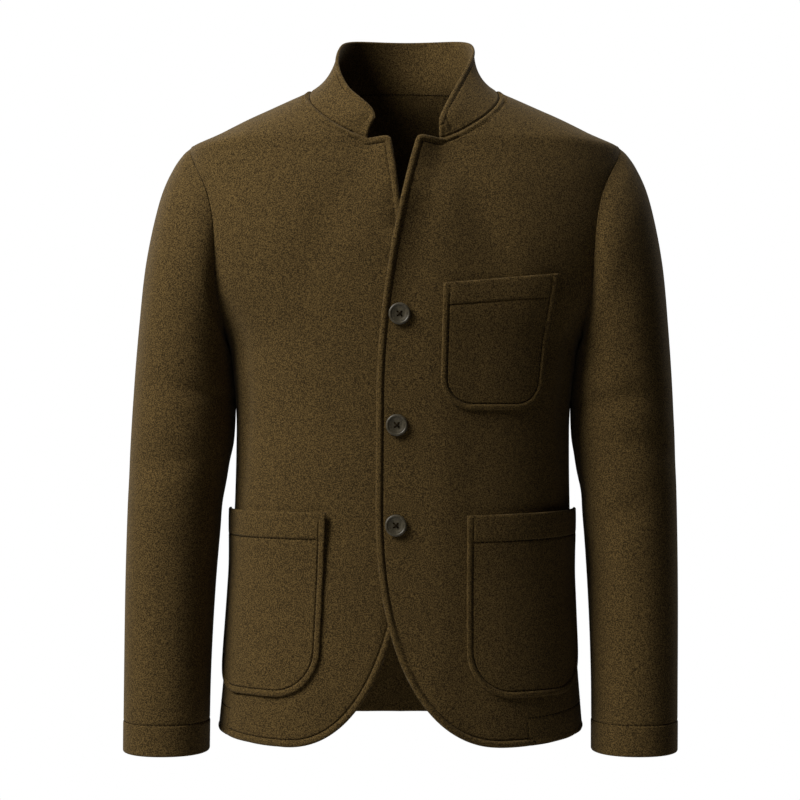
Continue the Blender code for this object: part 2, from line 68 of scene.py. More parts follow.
# Horizontal sections of the body, hem to neck
BODY_COLUMNS = ("height", "half_width", "front", "back", "squareness")
BODY_SECTIONS = np.array((
    (-0.6945, 0.1985, 0.128, 0.120, 2.35),
    (-0.600, 0.1905, 0.125, 0.116, 2.35),
    (-0.480, 0.1835, 0.121, 0.106, 2.35),
    (-0.365, 0.1810, 0.119, 0.103, 2.35),
    (-0.300, 0.1855, 0.121, 0.110, 2.35),
    (-0.262, 0.1930, 0.122, 0.115, 2.30),
    (-0.205, 0.2280, 0.121, 0.121, 2.30),
    (-0.150, 0.2400, 0.117, 0.122, 2.30),
    (-0.100, 0.2405, 0.108, 0.115, 2.20),
    (-0.050, 0.2335, 0.0925, 0.0990, 2.10),
    (-0.0355, 0.1995, 0.0870, 0.0915, 2.05),
    (-0.0200, 0.1630, 0.0800, 0.0830, 2.00),
    (-0.0040, 0.1270, 0.0720, 0.0745, 2.00),
    (0.0075, 0.1010, 0.0675, 0.0700, 2.00),
    (0.0200, 0.0775, 0.0640, 0.0655, 2.00),
))

# The armhole, in degrees around the body from the front and as heights
ARMHOLE_TURN = 95.0
ARMHOLE_FRONT_REACH = 39.0
ARMHOLE_BACK_REACH = 34.0
SIDE_SEAM_SHARE = 14.0 / 24.0

# The front edges, as distances from the middle, positive towards the wearer's left
FRONT_COLUMNS = ("notch", "straight", "collar_end", "cut_start", "cut_end", "hem_step")
LEFT_FRONT = dict(zip(FRONT_COLUMNS, (0.0125, -0.0278, 0.0365, -0.432, 0.1125, 0.1355)))
RIGHT_FRONT = dict(zip(FRONT_COLUMNS, (-0.0150, 0.0100, -0.0395, -0.405, -0.1240, -0.1855)))
EDGE_OPEN_LENGTH = 0.27
EDGE_OPEN_POWER = 1.85
CUTAWAY_POWER = 2.28
LAP_GROWS_ASIDE = (0.080, 0.035)
LAP_GROWS_DOWN = (-0.085, -0.120)
LEFT_ROLL_END = -0.270
RIGHT_ROLL_END = -0.135
ROLL_WIDTH = 0.032
ROLL_LOW_WIDTH = 0.016
ROLL_HEIGHT = 0.0110
ROLL_POWER = 0.7
RIGHT_ROLL_SHARE = 0.7
CORNER_RADIUS = 0.0045
HEM_DEPTH = 0.029

# The stand collar
NECK_CENTRE = 0.004
COLLAR_TOP_HALF_WIDTH = 0.0725
COLLAR_TOP_FRONT = 0.080
COLLAR_TOP_BACK = 0.059
COLLAR_TOP_END_TURN = 27.0
COLLAR_TOP_HEIGHT = 0.0725
COLLAR_TOP_DROP = 0.1020
COLLAR_DROP_POWER = 3.5
COLLAR_FLARE = 0.017
COLLAR_SIDE_FLARE = 0.014
COLLAR_GAP = -0.0016
COLLAR_COLUMNS = 260
COLLAR_ROWS = 44
COLLAR_CORNER = 0.006
COLLAR_LENGTH = 0.40
COLLAR_ROLL = 0.0115
COLLAR_ROLL_WIDTH = 0.042
COLLAR_OPEN = 0.0110
COLLAR_OPEN_START = 0.030
COLLAR_OPEN_END = 0.100
RIGHTWARD = np.array((-0.80, -0.10, -0.60))
FORWARD = np.array((0.0, -1.0, 0.0))
COLLAR_END_HEIGHT = 0.024
COLLAR_LEAN_POWER = 1.5
COLLAR_ENDS = (14, 0.012)
COLLAR_EDGES = (12, 0.010)

# Sections of the wearer's left sleeve, armhole to cuff
SLEEVE_COLUMNS = ("outer_x", "outer_z", "inner_x", "inner_z", "half_depth", "centre_y")
SLEEVE_SECTIONS = np.array((
    (0.2335, -0.0505, 0.1965, -0.2615, 0.060, 0.000),
    (0.2515, -0.0750, 0.1955, -0.2700, 0.070, 0.000),
    (0.2670, -0.1120, 0.1900, -0.2800, 0.076, 0.000),
    (0.2810, -0.1780, 0.1868, -0.2980, 0.077, -0.001),
    (0.2885, -0.2520, 0.1850, -0.3260, 0.074, -0.003),
    (0.2940, -0.3320, 0.1862, -0.3700, 0.070, -0.006),
    (0.2980, -0.4300, 0.1972, -0.4400, 0.065, -0.011),
    (0.2995, -0.5450, 0.2050, -0.5450, 0.059, -0.020),
    (0.2990, -0.6480, 0.2083, -0.6480, 0.054, -0.029),
    (0.2985, -0.7090, 0.2085, -0.7090, 0.052, -0.034),
))
LAST_STATION = len(SLEEVE_SECTIONS) - 1.0
LAST_LENGTH = SLEEVE_SECTIONS[-2, 1] - SLEEVE_SECTIONS[-1, 1]
SLEEVE_FADE = 3.5
SLEEVE_LAP = 0.0014
SLEEVE_RADIUS = 0.055
SLEEVE_STATION_LENGTH = 0.072
SLEEVE_SQUARENESS = 2.15
SLEEVE_POINTS = 132
SLEEVE_RINGS = 190
CAP_TURN = math.radians(65.0)
CUFF_HEM = 0.0362
CUFF_GIRTH = 0.31
SLEEVE_ENDS = (10, 0.008)
SLEEVE_LENGTH = 0.65

# Patch pockets: places along the cloth from the middle of the front
POCKET_COLUMNS = ("near_edge", "top", "mouth", "base", "height", "rise", "radius", "slant", "gape", "hem")
CHEST_POCKET, HIP_POCKET_LEFT, HIP_POCKET_RIGHT = (dict(zip(POCKET_COLUMNS, row)) for row in (
    (0.0405, -0.2080, 0.124, 0.116, 0.1325, 0.012, 0.034, -0.006, 0.0016, "chest"),
    (0.067, -0.4510, 0.168, 0.160, 0.192, 0.004, 0.052, -0.003, 0.0030, "hip"),
    (0.079, -0.4480, 0.170, 0.160, 0.1945, 0.0005, 0.052, 0.001, 0.0030, "hip"),
))
POCKET_OPEN_DEPTH = 0.075
CHEST_HEM = 0.0236
HIP_HEM = 0.0285

# Buttons
BUTTON_PLACES = ((-0.0030, -0.240), (-0.0059, -0.356), (-0.0068, -0.461))
BUTTON_RADIUS = 0.0115
BUTTON_THICK = 0.0044
BUTTON_HOLE_RADIUS = 0.0011
BUTTON_HOLE_FROM_MIDDLE = 0.0021
BUTTON_STEPS = 72
BUTTON_DISH = 0.0015
DISH_PROFILE = ((0.0, 0.0), (0.0025, 0.0), (0.0050, 0.0), (0.0062, 0.0001), (0.0072, 0.0006))
RIM_RADIUS = 0.0016
RIM_ANGLES = np.radians(np.linspace(150.0, -60.0, 12))
UNDERSIDE = ((0.0022, 0.0006), (0.0040, 0.0))
HOLE_STEPS = 20
HOLE_DEPTH = 0.02
SHARP_ANGLE = math.radians(40.0)
THREAD_RADIUS = 0.00028
THREAD_APART = 0.0003
THREAD_CROWN = 0.0005
THREAD_DIP = 0.0012
THREAD_DIP_FROM = 0.45
THREAD_POINTS = 9

# Soft folds of the body: turn and height of the middle, lean, half length, half width, depth
BODY_FOLDS = np.array((
    (17.0, -0.130, 14.0, 0.085, 0.016, -0.0035),
    (-16.0, -0.135, -14.0, 0.085, 0.017, -0.0030),
    (68.0, -0.330, 6.0, 0.110, 0.017, -0.0030),
    (-66.0, -0.345, -8.0, 0.120, 0.018, -0.0035),
    (140.0, -0.380, 6.0, 0.140, 0.022, -0.0040),
    (-143.0, -0.390, -5.0, 0.150, 0.022, -0.0040),
    (157.0, -0.300, 24.0, 0.070, 0.013, -0.0030),
    (-160.0, -0.470, -20.0, 0.085, 0.014, -0.0034),
    (176.0, -0.112, 82.0, 0.060, 0.011, -0.0024),
    (-128.0, -0.235, -32.0, 0.060, 0.013, -0.0030),
))

# Border kinds: radius of the edge, half thickness beside it, width and fade of that, then the distance, depth
# and width of the stitch line
BORDER_COLUMNS = ("radius", "half", "reach", "fade", "stitch", "depth", "width")
BORDERS = {kind: dict(zip(BORDER_COLUMNS, row)) for kind, *row in (
    ("edge", 0.0028, 0.0030, 0.0074, 0.0026, 0.0076, 0.0013, 0.0007),
    ("hem", 0.0022, 0.0020, 0.0060, 0.0030, HEM_DEPTH, 0.0006, 0.0010),
    ("cuff", 0.0022, 0.0017, CUFF_HEM, 0.0014, CUFF_HEM, 0.0008, 0.0011),
    ("collar", 0.0022, 0.0022, 0.0052, 0.0026, 0.0058, 0.0008, 0.0007),
    ("seam", 0.0008, HALF_WALL, 0.0030, 0.0010, 0.0, 0.0, 0.0010),
    ("foot", 0.0008, HALF_WALL, 0.0030, 0.0010, 0.0030, 0.0013, 0.0011),
    ("neck", 0.0028, 0.0024, 0.0046, 0.0020, 0.0050, 0.0012, 0.0009),
    ("pocket", 0.0018, 0.0023, 0.0066, 0.0024, 0.0069, 0.0012, 0.0007),
    ("chest", 0.0020, 0.0021, CHEST_HEM, 0.0014, CHEST_HEM, 0.0009, 0.0011),
    ("hip", 0.0020, 0.0021, HIP_HEM, 0.0014, HIP_HEM, 0.0009, 0.0011),
)}
HEM_STEP_DEPTH = 0.0007
HEM_STEP_WIDTH = 0.0010

# The mesh of a panel: rings beside its borders and grooves, then an even grid
RINGS = (0.0006, 0.0014, 0.0026, 0.0038, 0.0046, 0.0054, 0.0060, 0.0065, 0.0069, 0.0073, 0.0077, 0.0082,
         0.0089, 0.0098)
RING_CLEAR = 0.75 * RINGS[0]
GROOVE_RINGS = (-0.0024, -0.0014, -0.0007, 0.0, 0.0007, 0.0014, 0.0024)
GROOVE_CLEAR = 0.0042
GROOVE_FROM_EDGE = 0.0066
BORDER_STEP = 0.0035
FILL_STEP = 0.0058
ROW_STEP = FILL_STEP * 0.87
DENSE_STEP = 0.0012
FINE_STEP = 0.002
MERGE_DISTANCE = 1e-6

# How the hanging jacket leans, and how its shoulder tips drop: starts and ends of what fades
SWAY = 0.0080
SWAY_HEIGHT = -0.415
NECK_STEADY = 0.75
NECK_STEADY_HEIGHTS = (-0.06, 0.04)
SHOULDER_DROP = 0.0042
TIP_RISES = (0.160, 0.226)
TIP_FADES = (0.230, 0.243)
TIP_HEIGHTS = (-0.100, -0.055)

# Sewing thread
STITCH_LENGTH = 0.0033
STITCH_PITCH = 0.0045
SEAM_PITCH = 0.0034
STITCH_RADIUS = 0.00048
STITCH_SINK = 0.0003
STITCH_SIDES = 5
STITCH_FULL_TO = 0.715
COLLAR_ROW_FOOT = 0.06
# The close row of dark thread inside the collar foot is partly a painted shadow line along the neck seam
INNER_SEAM_SHADE_END = 0.06
INNER_SEAM_SHADE_RISE = 0.03
INNER_SEAM_SHADE_LIFT = 0.0002
OUTER_SEAM_END = 0.012

# Places of small things off the cloth
BUTTON_OFF_CLOTH = 0.0003
POCKET_OFF_CLOTH = 0.0002

# Creases of each sleeve: station, turn from the top forward, lean, half length, half width, depth
SLEEVE_CREASES = {
    "left": ((4.6, 100.0, 25.0, 0.050, 0.012, -0.0035), (5.4, 75.0, 18.0, 0.045, 0.012, -0.0030),
             (6.2, 110.0, -15.0, 0.040, 0.012, -0.0030), (5.0, 250.0, 20.0, 0.050, 0.014, -0.0035),
             (6.0, 230.0, -12.0, 0.045, 0.013, -0.0030)),
    "right": ((4.4, 105.0, 22.0, 0.048, 0.012, -0.0032), (5.6, 80.0, 15.0, 0.045, 0.013, -0.0032),
              (6.5, 115.0, -18.0, 0.040, 0.012, -0.0028), (5.2, 245.0, 18.0, 0.050, 0.014, -0.0035),
              (6.2, 235.0, -14.0, 0.045, 0.013, -0.0030)),
}

# The flat cut, as widths and lengths
COLLAR_FLAT = (0.46, 0.060)

# Light: the place, size and power of each lamp
AMBIENT = 0.006
LIGHT_TARGET = (0.0, 0.0, -0.32)
LIGHTS = {
    "key": ((-2.60, -1.60, 2.15), 2.2, 204.0),
    "fill": ((1.6, -2.6, 0.1), 1.4, 0.5),
    "top": ((0.30, 0.30, 2.1), 1.2, 18.0),
    "behind_left": ((-1.9, 2.1, 1.2), 1.2, 46.0),
    "behind_right": ((1.9, 2.1, 1.2), 1.2, 18.0),
}
WHITE = (1.0, 1.0, 1.0, 1.0)
FLOOR_HALF = 2.5
FLOOR_LOOK = {"Base Color": (0.58, 0.58, 0.58, 1.0), "Roughness": 0.9}

# Materials: noise as scale, detail and roughness, ramps as places and colours, bumps as strength and
# distance
FIBRE_NOISE = (900.0, 2.0, 0.6)
CLUMP_NOISE = (340.0, 3.0, 0.6)
BROAD_NOISE = (14.0, 2.0, 0.55)
FIBRE_RAMP = ((0.41, (0.025, 0.0146, 0.0035)), (0.60, (0.134, 0.0838, 0.0262)))
CLUMP_RAMP = ((0.32, (0.84, 0.84, 0.84)), (0.70, (1.13, 1.13, 1.13)))
BROAD_RAMP = ((0.30, (0.95, 0.95, 0.95)), (0.70, (1.04, 1.04, 1.04)))
CLUMP_BUMP = (0.55, 0.0006)
NAP_BUMP = (0.60, 0.0003)
WOOL_LOOK = {"Roughness": 0.94, "Specular IOR Level": 0.12, "Sheen Weight": 0.10, "Sheen Roughness": 0.45,
             "Sheen Tint": (0.62, 0.52, 0.36, 1.0)}
HORN_NOISE = (260.0, 4.0, 0.6)
HORN_DISTORTION = 1.4
HORN_RAMP = ((0.30, (0.028, 0.022, 0.012)), (0.75, (0.108, 0.090, 0.056)))
HORN_BUMP = (0.15, 0.0002)
HORN_LOOK = {"Roughness": 0.40, "Specular IOR Level": 0.4}
THREAD_TWIST = {"Scale": 900.0, "Distortion": 2.0}
# Thread colours: near black, partly painted shade of stitches sunk in their holes
THREAD_AND_SHADE_RAMP = ((0.2, (0.0100, 0.0055, 0.0012)), (0.8, (0.0200, 0.0115, 0.0028)))
THREAD_LOOK = {"Roughness": 0.90, "Specular IOR Level": 0.1}

# Points along the lines of an outline
STRAIGHT_POINTS = 40
HEM_POINTS = 80
EDGE_POINTS = 120
SHOULDER_POINTS = 60
BACK_HOLE_POINTS = 90
BACK_NECK_POINTS = 160
BEND_POINTS = 12
ARC_POINTS = 30
COLLAR_LINE_POINTS = 600
SEAM_LINE_POINTS = 900
INNER_SEAM_SHADE_POINTS = 700

MEAN_RADIUS = 0.16
FRONT_RADIUS = 0.21
SHOULDER_STRETCH = 2.4
TINY = 0.0005
FULL_TURN = 2.0 * math.pi
POCKET_TURN_LIMIT = math.radians(150.0)
POCKET_TURNS = 200


# Reading short tables and lines

def columns(*parts):
    return np.stack(parts, axis=-1)


def unit(vectors):
    return vectors / np.maximum(np.linalg.norm(vectors, axis=-1, keepdims=True), 1e-12)


def runs_of(points):
    """The run along lines of points, from the first point of each."""
    steps = np.linalg.norm(np.diff(points, axis=0), axis=-1)
    return np.concatenate((np.zeros_like(steps[:1]), np.cumsum(steps, axis=0)))


def smooth_step(start, end, value):
    share = np.clip((value - start) / (end - start), 0.0, 1.0)
    return share * share * (3.0 - 2.0 * share)


def smooth_through(places, values, at):
    """Read a smooth curve through a short table, with no swing past its rows."""
    places = np.asarray(places, float)
    values = np.asarray(values, float)
    runs = np.diff(places)
    slopes = np.diff(values) / runs
    tangents = np.concatenate((slopes[:1], 0.5 * (slopes[1:] + slopes[:-1]), slopes[-1:]))
    turning = slopes[1:] * slopes[:-1] <= 0.0
    tangents[1:-1][turning] = 0.0
    limit = 3.0 * np.minimum(np.abs(slopes[1:]), np.abs(slopes[:-1]))
    tangents[1:-1] = np.clip(tangents[1:-1], -limit, limit)
    at = np.clip(at, places[0], places[-1])
    row = np.clip(np.searchsorted(places, at) - 1, 0, len(runs) - 1)
    share = (at - places[row]) / runs[row]
    rise = values[row + 1] - values[row]
    bend_in = tangents[row] * runs[row] - rise
    bend_out = rise - tangents[row + 1] * runs[row]
    return values[row] + share * rise + share * (1 - share) * ((1 - share) * bend_in + share * bend_out)


def trough(across, along, lean, half_length, half_width, depth):
    """The depth of a soft fold with tapering ends, at places across and along it before it leans."""
    lean = math.radians(lean)
    aside = across * math.cos(lean) + along * math.sin(lean)
    run = along * math.cos(lean) - across * math.sin(lean)
    return depth * np.exp(-(aside / half_width) ** 2 - (run / half_length) ** 2)


# The body's surface

def stretched(height):
    """A height counted along the cloth, which runs nearly level over the shoulders."""
    return np.where(height < SHOULDER_TIP, height, SHOULDER_TIP + (height - SHOULDER_TIP) * SHOULDER_STRETCH)


def unstretched(run):
    return np.where(run < SHOULDER_TIP, run, SHOULDER_TIP + (run - SHOULDER_TIP) / SHOULDER_STRETCH)


def body_size(name, height):
    heights = stretched(BODY_SECTIONS[:, 0])
    return smooth_through(heights, BODY_SECTIONS[:, BODY_COLUMNS.index(name)], stretched(height))


def fold_depth(turn, height):
    """The outward move of the body's folds."""
    return sum(trough((turn - math.radians(middle_turn)) * MEAN_RADIUS, height - middle, *form)
               for middle_turn, middle, *form in BODY_FOLDS)


def body_ring(turn, height):
    """A point of the body's middle surface before folds, at a turn in radians from the front."""
    power = 2.0 / body_size("squareness", height)
    depth = np.where(np.cos(turn) > 0, body_size("front", height), body_size("back", height))
    x = body_size("half_width", height) * np.sign(np.sin(turn)) * np.abs(np.sin(turn)) ** power
    y = -depth * np.sign(np.cos(turn)) * np.abs(np.cos(turn)) ** power
    return columns(x, y, height + 0.0 * turn)


def body_steps(turn, height):
    """Small steps over the body's surface, around it and upward."""
    return (body_ring(turn + TINY, height) - body_ring(turn - TINY, height),
            body_ring(turn, height + TINY) - body_ring(turn, height - TINY))


def outward(turn, height):
    return unit(np.cross(*body_steps(turn, height)))


def unwound(turn):
    return np.where(turn > math.pi, turn - FULL_TURN, turn)


def body_point(turn, height, lift=0.0):
    turn = unwound(np.asarray(turn, float))
    height = np.asarray(height, float)
    move = fold_depth(turn, height) + lift
    return body_ring(turn, height) + outward(turn, height) * np.asarray(move)[..., None]


def front_lap(turn, height):
    """How far the left front stands out where it lies over the right one."""
    aside = body_ring(turn, height)[..., 0]
    share = smooth_step(*LAP_GROWS_ASIDE, aside) * smooth_step(*LAP_GROWS_DOWN, height)
    return LAP * share


def no_lap(turn, height):
    return 0.0 * turn


def edge_x(front, height):
    """The front edge's distance from the middle above the cutaway."""
    opened = np.clip(1.0 - (NOTCH - height) / EDGE_OPEN_LENGTH, 0.0, 1.0) ** EDGE_OPEN_POWER
    return front["straight"] + (front["notch"] - front["straight"]) * opened


def edge_roll(front, side, low, turn, height):
    """How far a front turns outward along its edge beside the neck opening, down to a low end."""
    inside = side * (body_ring(turn, height)[..., 0] - edge_x(front, height))
    share = smooth_step(low, NOTCH, height)
    width = ROLL_LOW_WIDTH + (ROLL_WIDTH - ROLL_LOW_WIDTH) * share
    return ROLL_HEIGHT * share ** ROLL_POWER * (1.0 - smooth_step(0.0, width, inside))


def left_lift(turn, height):
    return front_lap(turn, height) + edge_roll(LEFT_FRONT, 1, LEFT_ROLL_END, turn, height)


def right_lift(turn, height):
    return RIGHT_ROLL_SHARE * edge_roll(RIGHT_FRONT, -1, RIGHT_ROLL_END, turn, height)


def turn_of(x, height):
    """The turn at which the front of the body has this x."""
    share = np.abs(x) / body_size("half_width", height)
    return np.sign(x) * np.arcsin(share ** (body_size("squareness", height) / 2.0))


def turn_along(run, height):
    """The turn reached after this run of cloth around from the middle of the front."""
    turns = np.linspace(0.0, POCKET_TURN_LIMIT, POCKET_TURNS)
    runs = runs_of(body_ring(turns, np.full_like(turns, height)))
    return math.copysign(np.interp(abs(run), runs, turns), run)


def neck_height(turn):
    """The height of the collar seam at a turn, from the notch around to the back."""
    degrees = np.abs(np.degrees(unwound(turn)))
    share = np.minimum(degrees / 90.0, 1.0)
    front = (NOTCH - NECK_SIDE) * (1.0 - np.maximum(share - NECK_LEVEL_SHARE, 0.0) / (1.0 - NECK_LEVEL_SHARE)) ** 2
    back = (NECK_BACK - NECK_SIDE) * np.sin(np.radians(np.maximum(degrees - 90.0, 0.0))) ** 2
    return NECK_SIDE + front + back


def hem_height(turn):
    """The height of the hem at a turn: lowest at the front, highest at the sides."""
    degrees = np.degrees(np.abs(unwound(turn)))
    side_rise = HEM_SIDE_RISE * smooth_step(*HEM_RISE_TURNS, degrees)
    back_fall = (HEM_SIDE_RISE - HEM_BACK_RISE) * smooth_step(*HEM_FALL_TURNS, degrees)
    return HEM + side_rise - back_fall


def hem_line(start, end):
    turns = np.linspace(start, end, HEM_POINTS)
    return columns(turns, hem_height(turns))


def neck_line(start, end, count):
    turns = np.linspace(start, end, count)
    return columns(turns, neck_height(turns))


def shoulder_line(turn, start, end):
    """A shoulder seam at one turn between two heights, in even steps along the cloth."""
    runs = np.linspace(stretched(start), stretched(end), SHOULDER_POINTS)
    return columns(np.full(SHOULDER_POINTS, turn), unstretched(runs))


def armhole(side, shares):
    """Points of an armhole as (turn, height), at shares of the way from the tip, forward and under."""
    middle = 0.5 * (SHOULDER_TIP + ARMPIT)
    half = 0.5 * (SHOULDER_TIP - ARMPIT)
    around = FULL_TURN * np.asarray(shares)
    reach = np.where(np.sin(around) > 0, ARMHOLE_FRONT_REACH, ARMHOLE_BACK_REACH)
    turns = np.radians(ARMHOLE_TURN - reach * np.sin(around))
    return columns(side * turns, middle + half * np.cos(around))


# Outlines in (turn, height)

def straight(start, end, count=STRAIGHT_POINTS):
    shares = np.linspace(0.0, 1.0, count)[:, None]
    return np.asarray(start) * (1.0 - shares) + np.asarray(end) * shares


def rounded(line, corner, radius):
    """A line with its corner point replaced by a small bend."""
    from_corner = np.hypot((line[:, 0] - corner[0]) * FRONT_RADIUS, line[:, 1] - corner[1])
    close = np.flatnonzero(from_corner < radius)
    start = line[close[0] - 1]
    end = line[close[-1] + 1]
    share = np.linspace(0.0, 1.0, BEND_POINTS)[:, None]
    bend = start * (1 - share) ** 2 + np.asarray(corner) * 2 * share * (1 - share) + end * share ** 2
    return np.concatenate((line[:close[0] - 1], bend, line[close[-1] + 2:]))


def front_edge(front):
    """The front edge from the hem up to the notch."""
    cut_run = front["cut_end"] - front["straight"]
    falls = np.sin(np.linspace(0.5 * math.pi, 0.0, HEM_POINTS))
    shares = 1.0 - (1.0 - falls ** CUTAWAY_POWER) ** (1.0 / CUTAWAY_POWER)
    x = front["straight"] + cut_run * shares
    heights = front["cut_start"] + (HEM - front["cut_start"]) * falls
    above = np.linspace(front["cut_start"], NOTCH, EDGE_POINTS)[1:]
    x = np.concatenate((x, edge_x(front, above)))
    heights = np.concatenate((heights, above))
    return columns(turn_of(x, heights), heights)


def front_borders(front, side):
    """The borders of one front, each with its kind, in order around it."""
    seam_top = armhole(side, [SIDE_SEAM_SHARE])[0]
    tip = armhole(side, [0.0])[0]
    hem_corner = (seam_top[0], hem_height(seam_top[0]))
    hem_step = turn_of(front["hem_step"], HEM)
    edge = front_edge(front)
    collar_end = (turn_of(front["collar_end"], NOTCH), NOTCH)
    whole_edge = np.concatenate((hem_line(hem_step, edge[0][0])[:-1], edge, straight(edge[-1], collar_end)[1:]))
    neck = neck_line(collar_end[0], tip[0], EDGE_POINTS)
    return [
        ("hem", hem_line(hem_corner[0], hem_step)),
        ("edge", rounded(whole_edge, edge[-1], CORNER_RADIUS)),
        ("neck", neck),
        ("seam", shoulder_line(tip[0], neck[-1][1], tip[1])),
        ("seam", armhole(side, np.linspace(0.0, SIDE_SEAM_SHARE, EDGE_POINTS))),
        ("seam", straight(seam_top, hem_corner)),
    ]


def back_borders():
    """The borders of the back, from the left side seam around to the right one."""
    unwind = np.array((FULL_TURN, 0.0))
    left_top = armhole(1, [SIDE_SEAM_SHARE])[0]
    right_top = armhole(-1, [SIDE_SEAM_SHARE])[0] + unwind
    left_hole = armhole(1, np.linspace(SIDE_SEAM_SHARE, 1.0, BACK_HOLE_POINTS))
    right_hole = armhole(-1, np.linspace(SIDE_SEAM_SHARE, 1.0, BACK_HOLE_POINTS)) + unwind
    left_corner = (left_top[0], hem_height(left_top[0]))
    right_corner = (right_top[0], hem_height(right_top[0]))
    neck = neck_line(right_hole[-1][0], left_hole[-1][0], BACK_NECK_POINTS)
    heights = (left_hole[-1][1], neck[0][1])
    return [
        ("hem", hem_line(left_corner[0], right_corner[0])),
        ("seam", straight(right_corner, right_top)),
        ("seam", right_hole),
        ("seam", shoulder_line(right_hole[-1][0], *heights)),
        ("neck", neck),
        ("seam", shoulder_line(left_hole[-1][0], *heights)[::-1]),
        ("seam", left_hole[::-1]),
        ("seam", straight(left_top, left_corner)),
    ]


def pocket_borders(pocket, side):
    """A patch pocket's mouth and its sewn border with two rounded lower corners."""
    middle = pocket["near_edge"] + 0.5 * pocket["mouth"]
    near_top = (middle - 0.5 * pocket["mouth"], pocket["top"])
    far_top = (middle + 0.5 * pocket["mouth"], pocket["top"] + pocket["rise"])
    radius = pocket["radius"]
    quarter = np.linspace(0.0, 0.5 * math.pi, ARC_POINTS)
    inward = radius - radius * np.cos(quarter)
    heights = pocket["top"] - pocket["height"] + radius - radius * np.sin(quarter)
    base = middle + pocket["slant"]
    far_arc = columns(base + 0.5 * pocket["base"] - inward, heights)
    near_arc = columns(base - 0.5 * pocket["base"] + inward, heights)[::-1]
    around = np.concatenate((straight(far_top, far_arc[0])[:-1], far_arc,
                             straight(far_arc[-1], near_arc[0])[1:-1], near_arc,
                             straight(near_arc[-1], near_top)[1:]))
    return [(kind, np.array([(turn_along(side * run, height), height) for run, height in flat]))
            for kind, flat in ((pocket["hem"], straight(near_top, far_top)), ("pocket", around))]


# Filling an outline with a fine mesh

def flat_of(points):
    return columns(points[:, 0] * MEAN_RADIUS, stretched(points[:, 1]))


def unflat(points):
    return columns(points[:, 0] / MEAN_RADIUS, unstretched(points[:, 1]))


def bare_place(points):
    return body_ring(unwound(points[:, 0]), points[:, 1])


def spaced(points, step, place=bare_place):
    """Points at an even spacing along a line, both ends kept; place gives their positions in space."""
    runs = runs_of(place(points))
    count = max(int(round(runs[-1] / step)), 2)
    at = np.linspace(0.0, runs[-1], count + 1)
    return columns(*(np.interp(at, runs, column) for column in points.T))


def inset(points, distance, turned):
    """A line moved sideways over the cloth by a distance, to its left if turned is 1."""
    steps = body_steps(unwound(points[:, 0]), points[:, 1])
    scale = columns(*(np.linalg.norm(step, axis=1) for step in steps)) / (2.0 * TINY)
    along = unit(np.gradient(points, axis=0) * scale)
    return points + columns(-along[:, 1], along[:, 0]) * turned * distance / scale


def inside_mask(outline, points):
    mask = np.zeros(len(points), bool)
    for (x0, y0), (x1, y1) in zip(outline, np.roll(outline, -1, axis=0)):
        if y1 != y0:
            spans = (y0 > points[:, 1]) != (y1 > points[:, 1])
            mask ^= spans & (points[:, 0] < x0 + (points[:, 1] - y0) * (x1 - x0) / (y1 - y0))
    return mask


def distances(line, points):
    """How far each point is from the nearest point of a line."""
    tree = kdtree.KDTree(len(line))
    for index, point in enumerate(line):
        tree.insert((*point, 0.0)[:3], index)
    tree.balance()
    return np.array([tree.find((*point, 0.0)[:3])[2] for point in points])


def fill_borders(borders, grooves):
    """A triangle mesh over closed borders: rings of points beside them and a staggered grid inside."""
    lines = [spaced(line, BORDER_STEP) for _, line in borders]
    outline = flat_of(np.concatenate([line[:-1] for line in lines]))
    x, y = outline.T
    turned = np.sign(np.sum(x * np.roll(y, -1) - y * np.roll(x, -1)))
    dense = np.concatenate([flat_of(spaced(line, DENSE_STEP)) for _, line in borders])

    def within(points, clear):
        points = points[inside_mask(outline, points)]
        return points[distances(dense, points) > clear]

    rings = np.concatenate([flat_of(inset(line, distance, turned)) for line in lines for distance in RINGS])
    rows = np.arange(y.min(), y.max(), ROW_STEP)
    grid = np.array([(across + (0.5 * FILL_STEP if index % 2 else 0.0), row) for index, row in enumerate(rows)
                     for across in np.arange(x.min(), x.max(), FILL_STEP)])
    rings = within(rings, RING_CLEAR)
    grid = within(grid, RINGS[-1])
    middles = [inset(line, BORDERS[kind]["stitch"], turned) for (kind, _), line in zip(borders, lines)
               if BORDERS[kind]["stitch"] > RINGS[-1]]
    middles += [spaced(line, BORDER_STEP) for line, _, _ in grooves]
    if middles:
        beside = np.concatenate([flat_of(inset(line, off, 1.0)) for line in middles for off in GROOVE_RINGS])
        rings = np.concatenate((rings, within(beside, GROOVE_FROM_EDGE)))
        sewn = np.concatenate([flat_of(spaced(line, DENSE_STEP)) for line in middles])
        grid = grid[distances(sewn, grid) > GROOVE_CLEAR]
    everything = np.concatenate((outline, rings, grid))
    edges = [(index, (index + 1) % len(outline)) for index in range(len(outline))]
    places, _, faces, _, _, _ = delaunay_2d_cdt([Vector(p) for p in everything], edges, [], 1, MERGE_DISTANCE)
    return unflat(np.array([tuple(p) for p in places])), np.array([tuple(face) for face in faces])


def border_puff(kind, distance, base):
    """How much thicker half the wall is beside a border of one kind, where its edge is turned in."""
    border = BORDERS[kind]
    return (border["half"] - base) * (1.0 - smooth_step(border["reach"] - border["fade"], border["reach"], distance))


def border_groove(kind, distance):
    """How deep the cloth is drawn in along the stitch line of a border of one kind."""
    border = BORDERS[kind]
    return border["depth"] * np.exp(-((distance - border["stitch"]) / border["width"]) ** 2)


def stitch_rise(kind, base):
    """The height of a border's stitches off the middle of the wall."""
    distance = BORDERS[kind]["stitch"]
    return base + border_puff(kind, distance, base) - border_groove(kind, distance) + STITCH_SINK


def border_round(kind, distance):
    share = np.clip(distance / BORDERS[kind]["radius"], 0.0, 1.0)
    return np.sqrt(1.0 - (1.0 - share) ** 2)


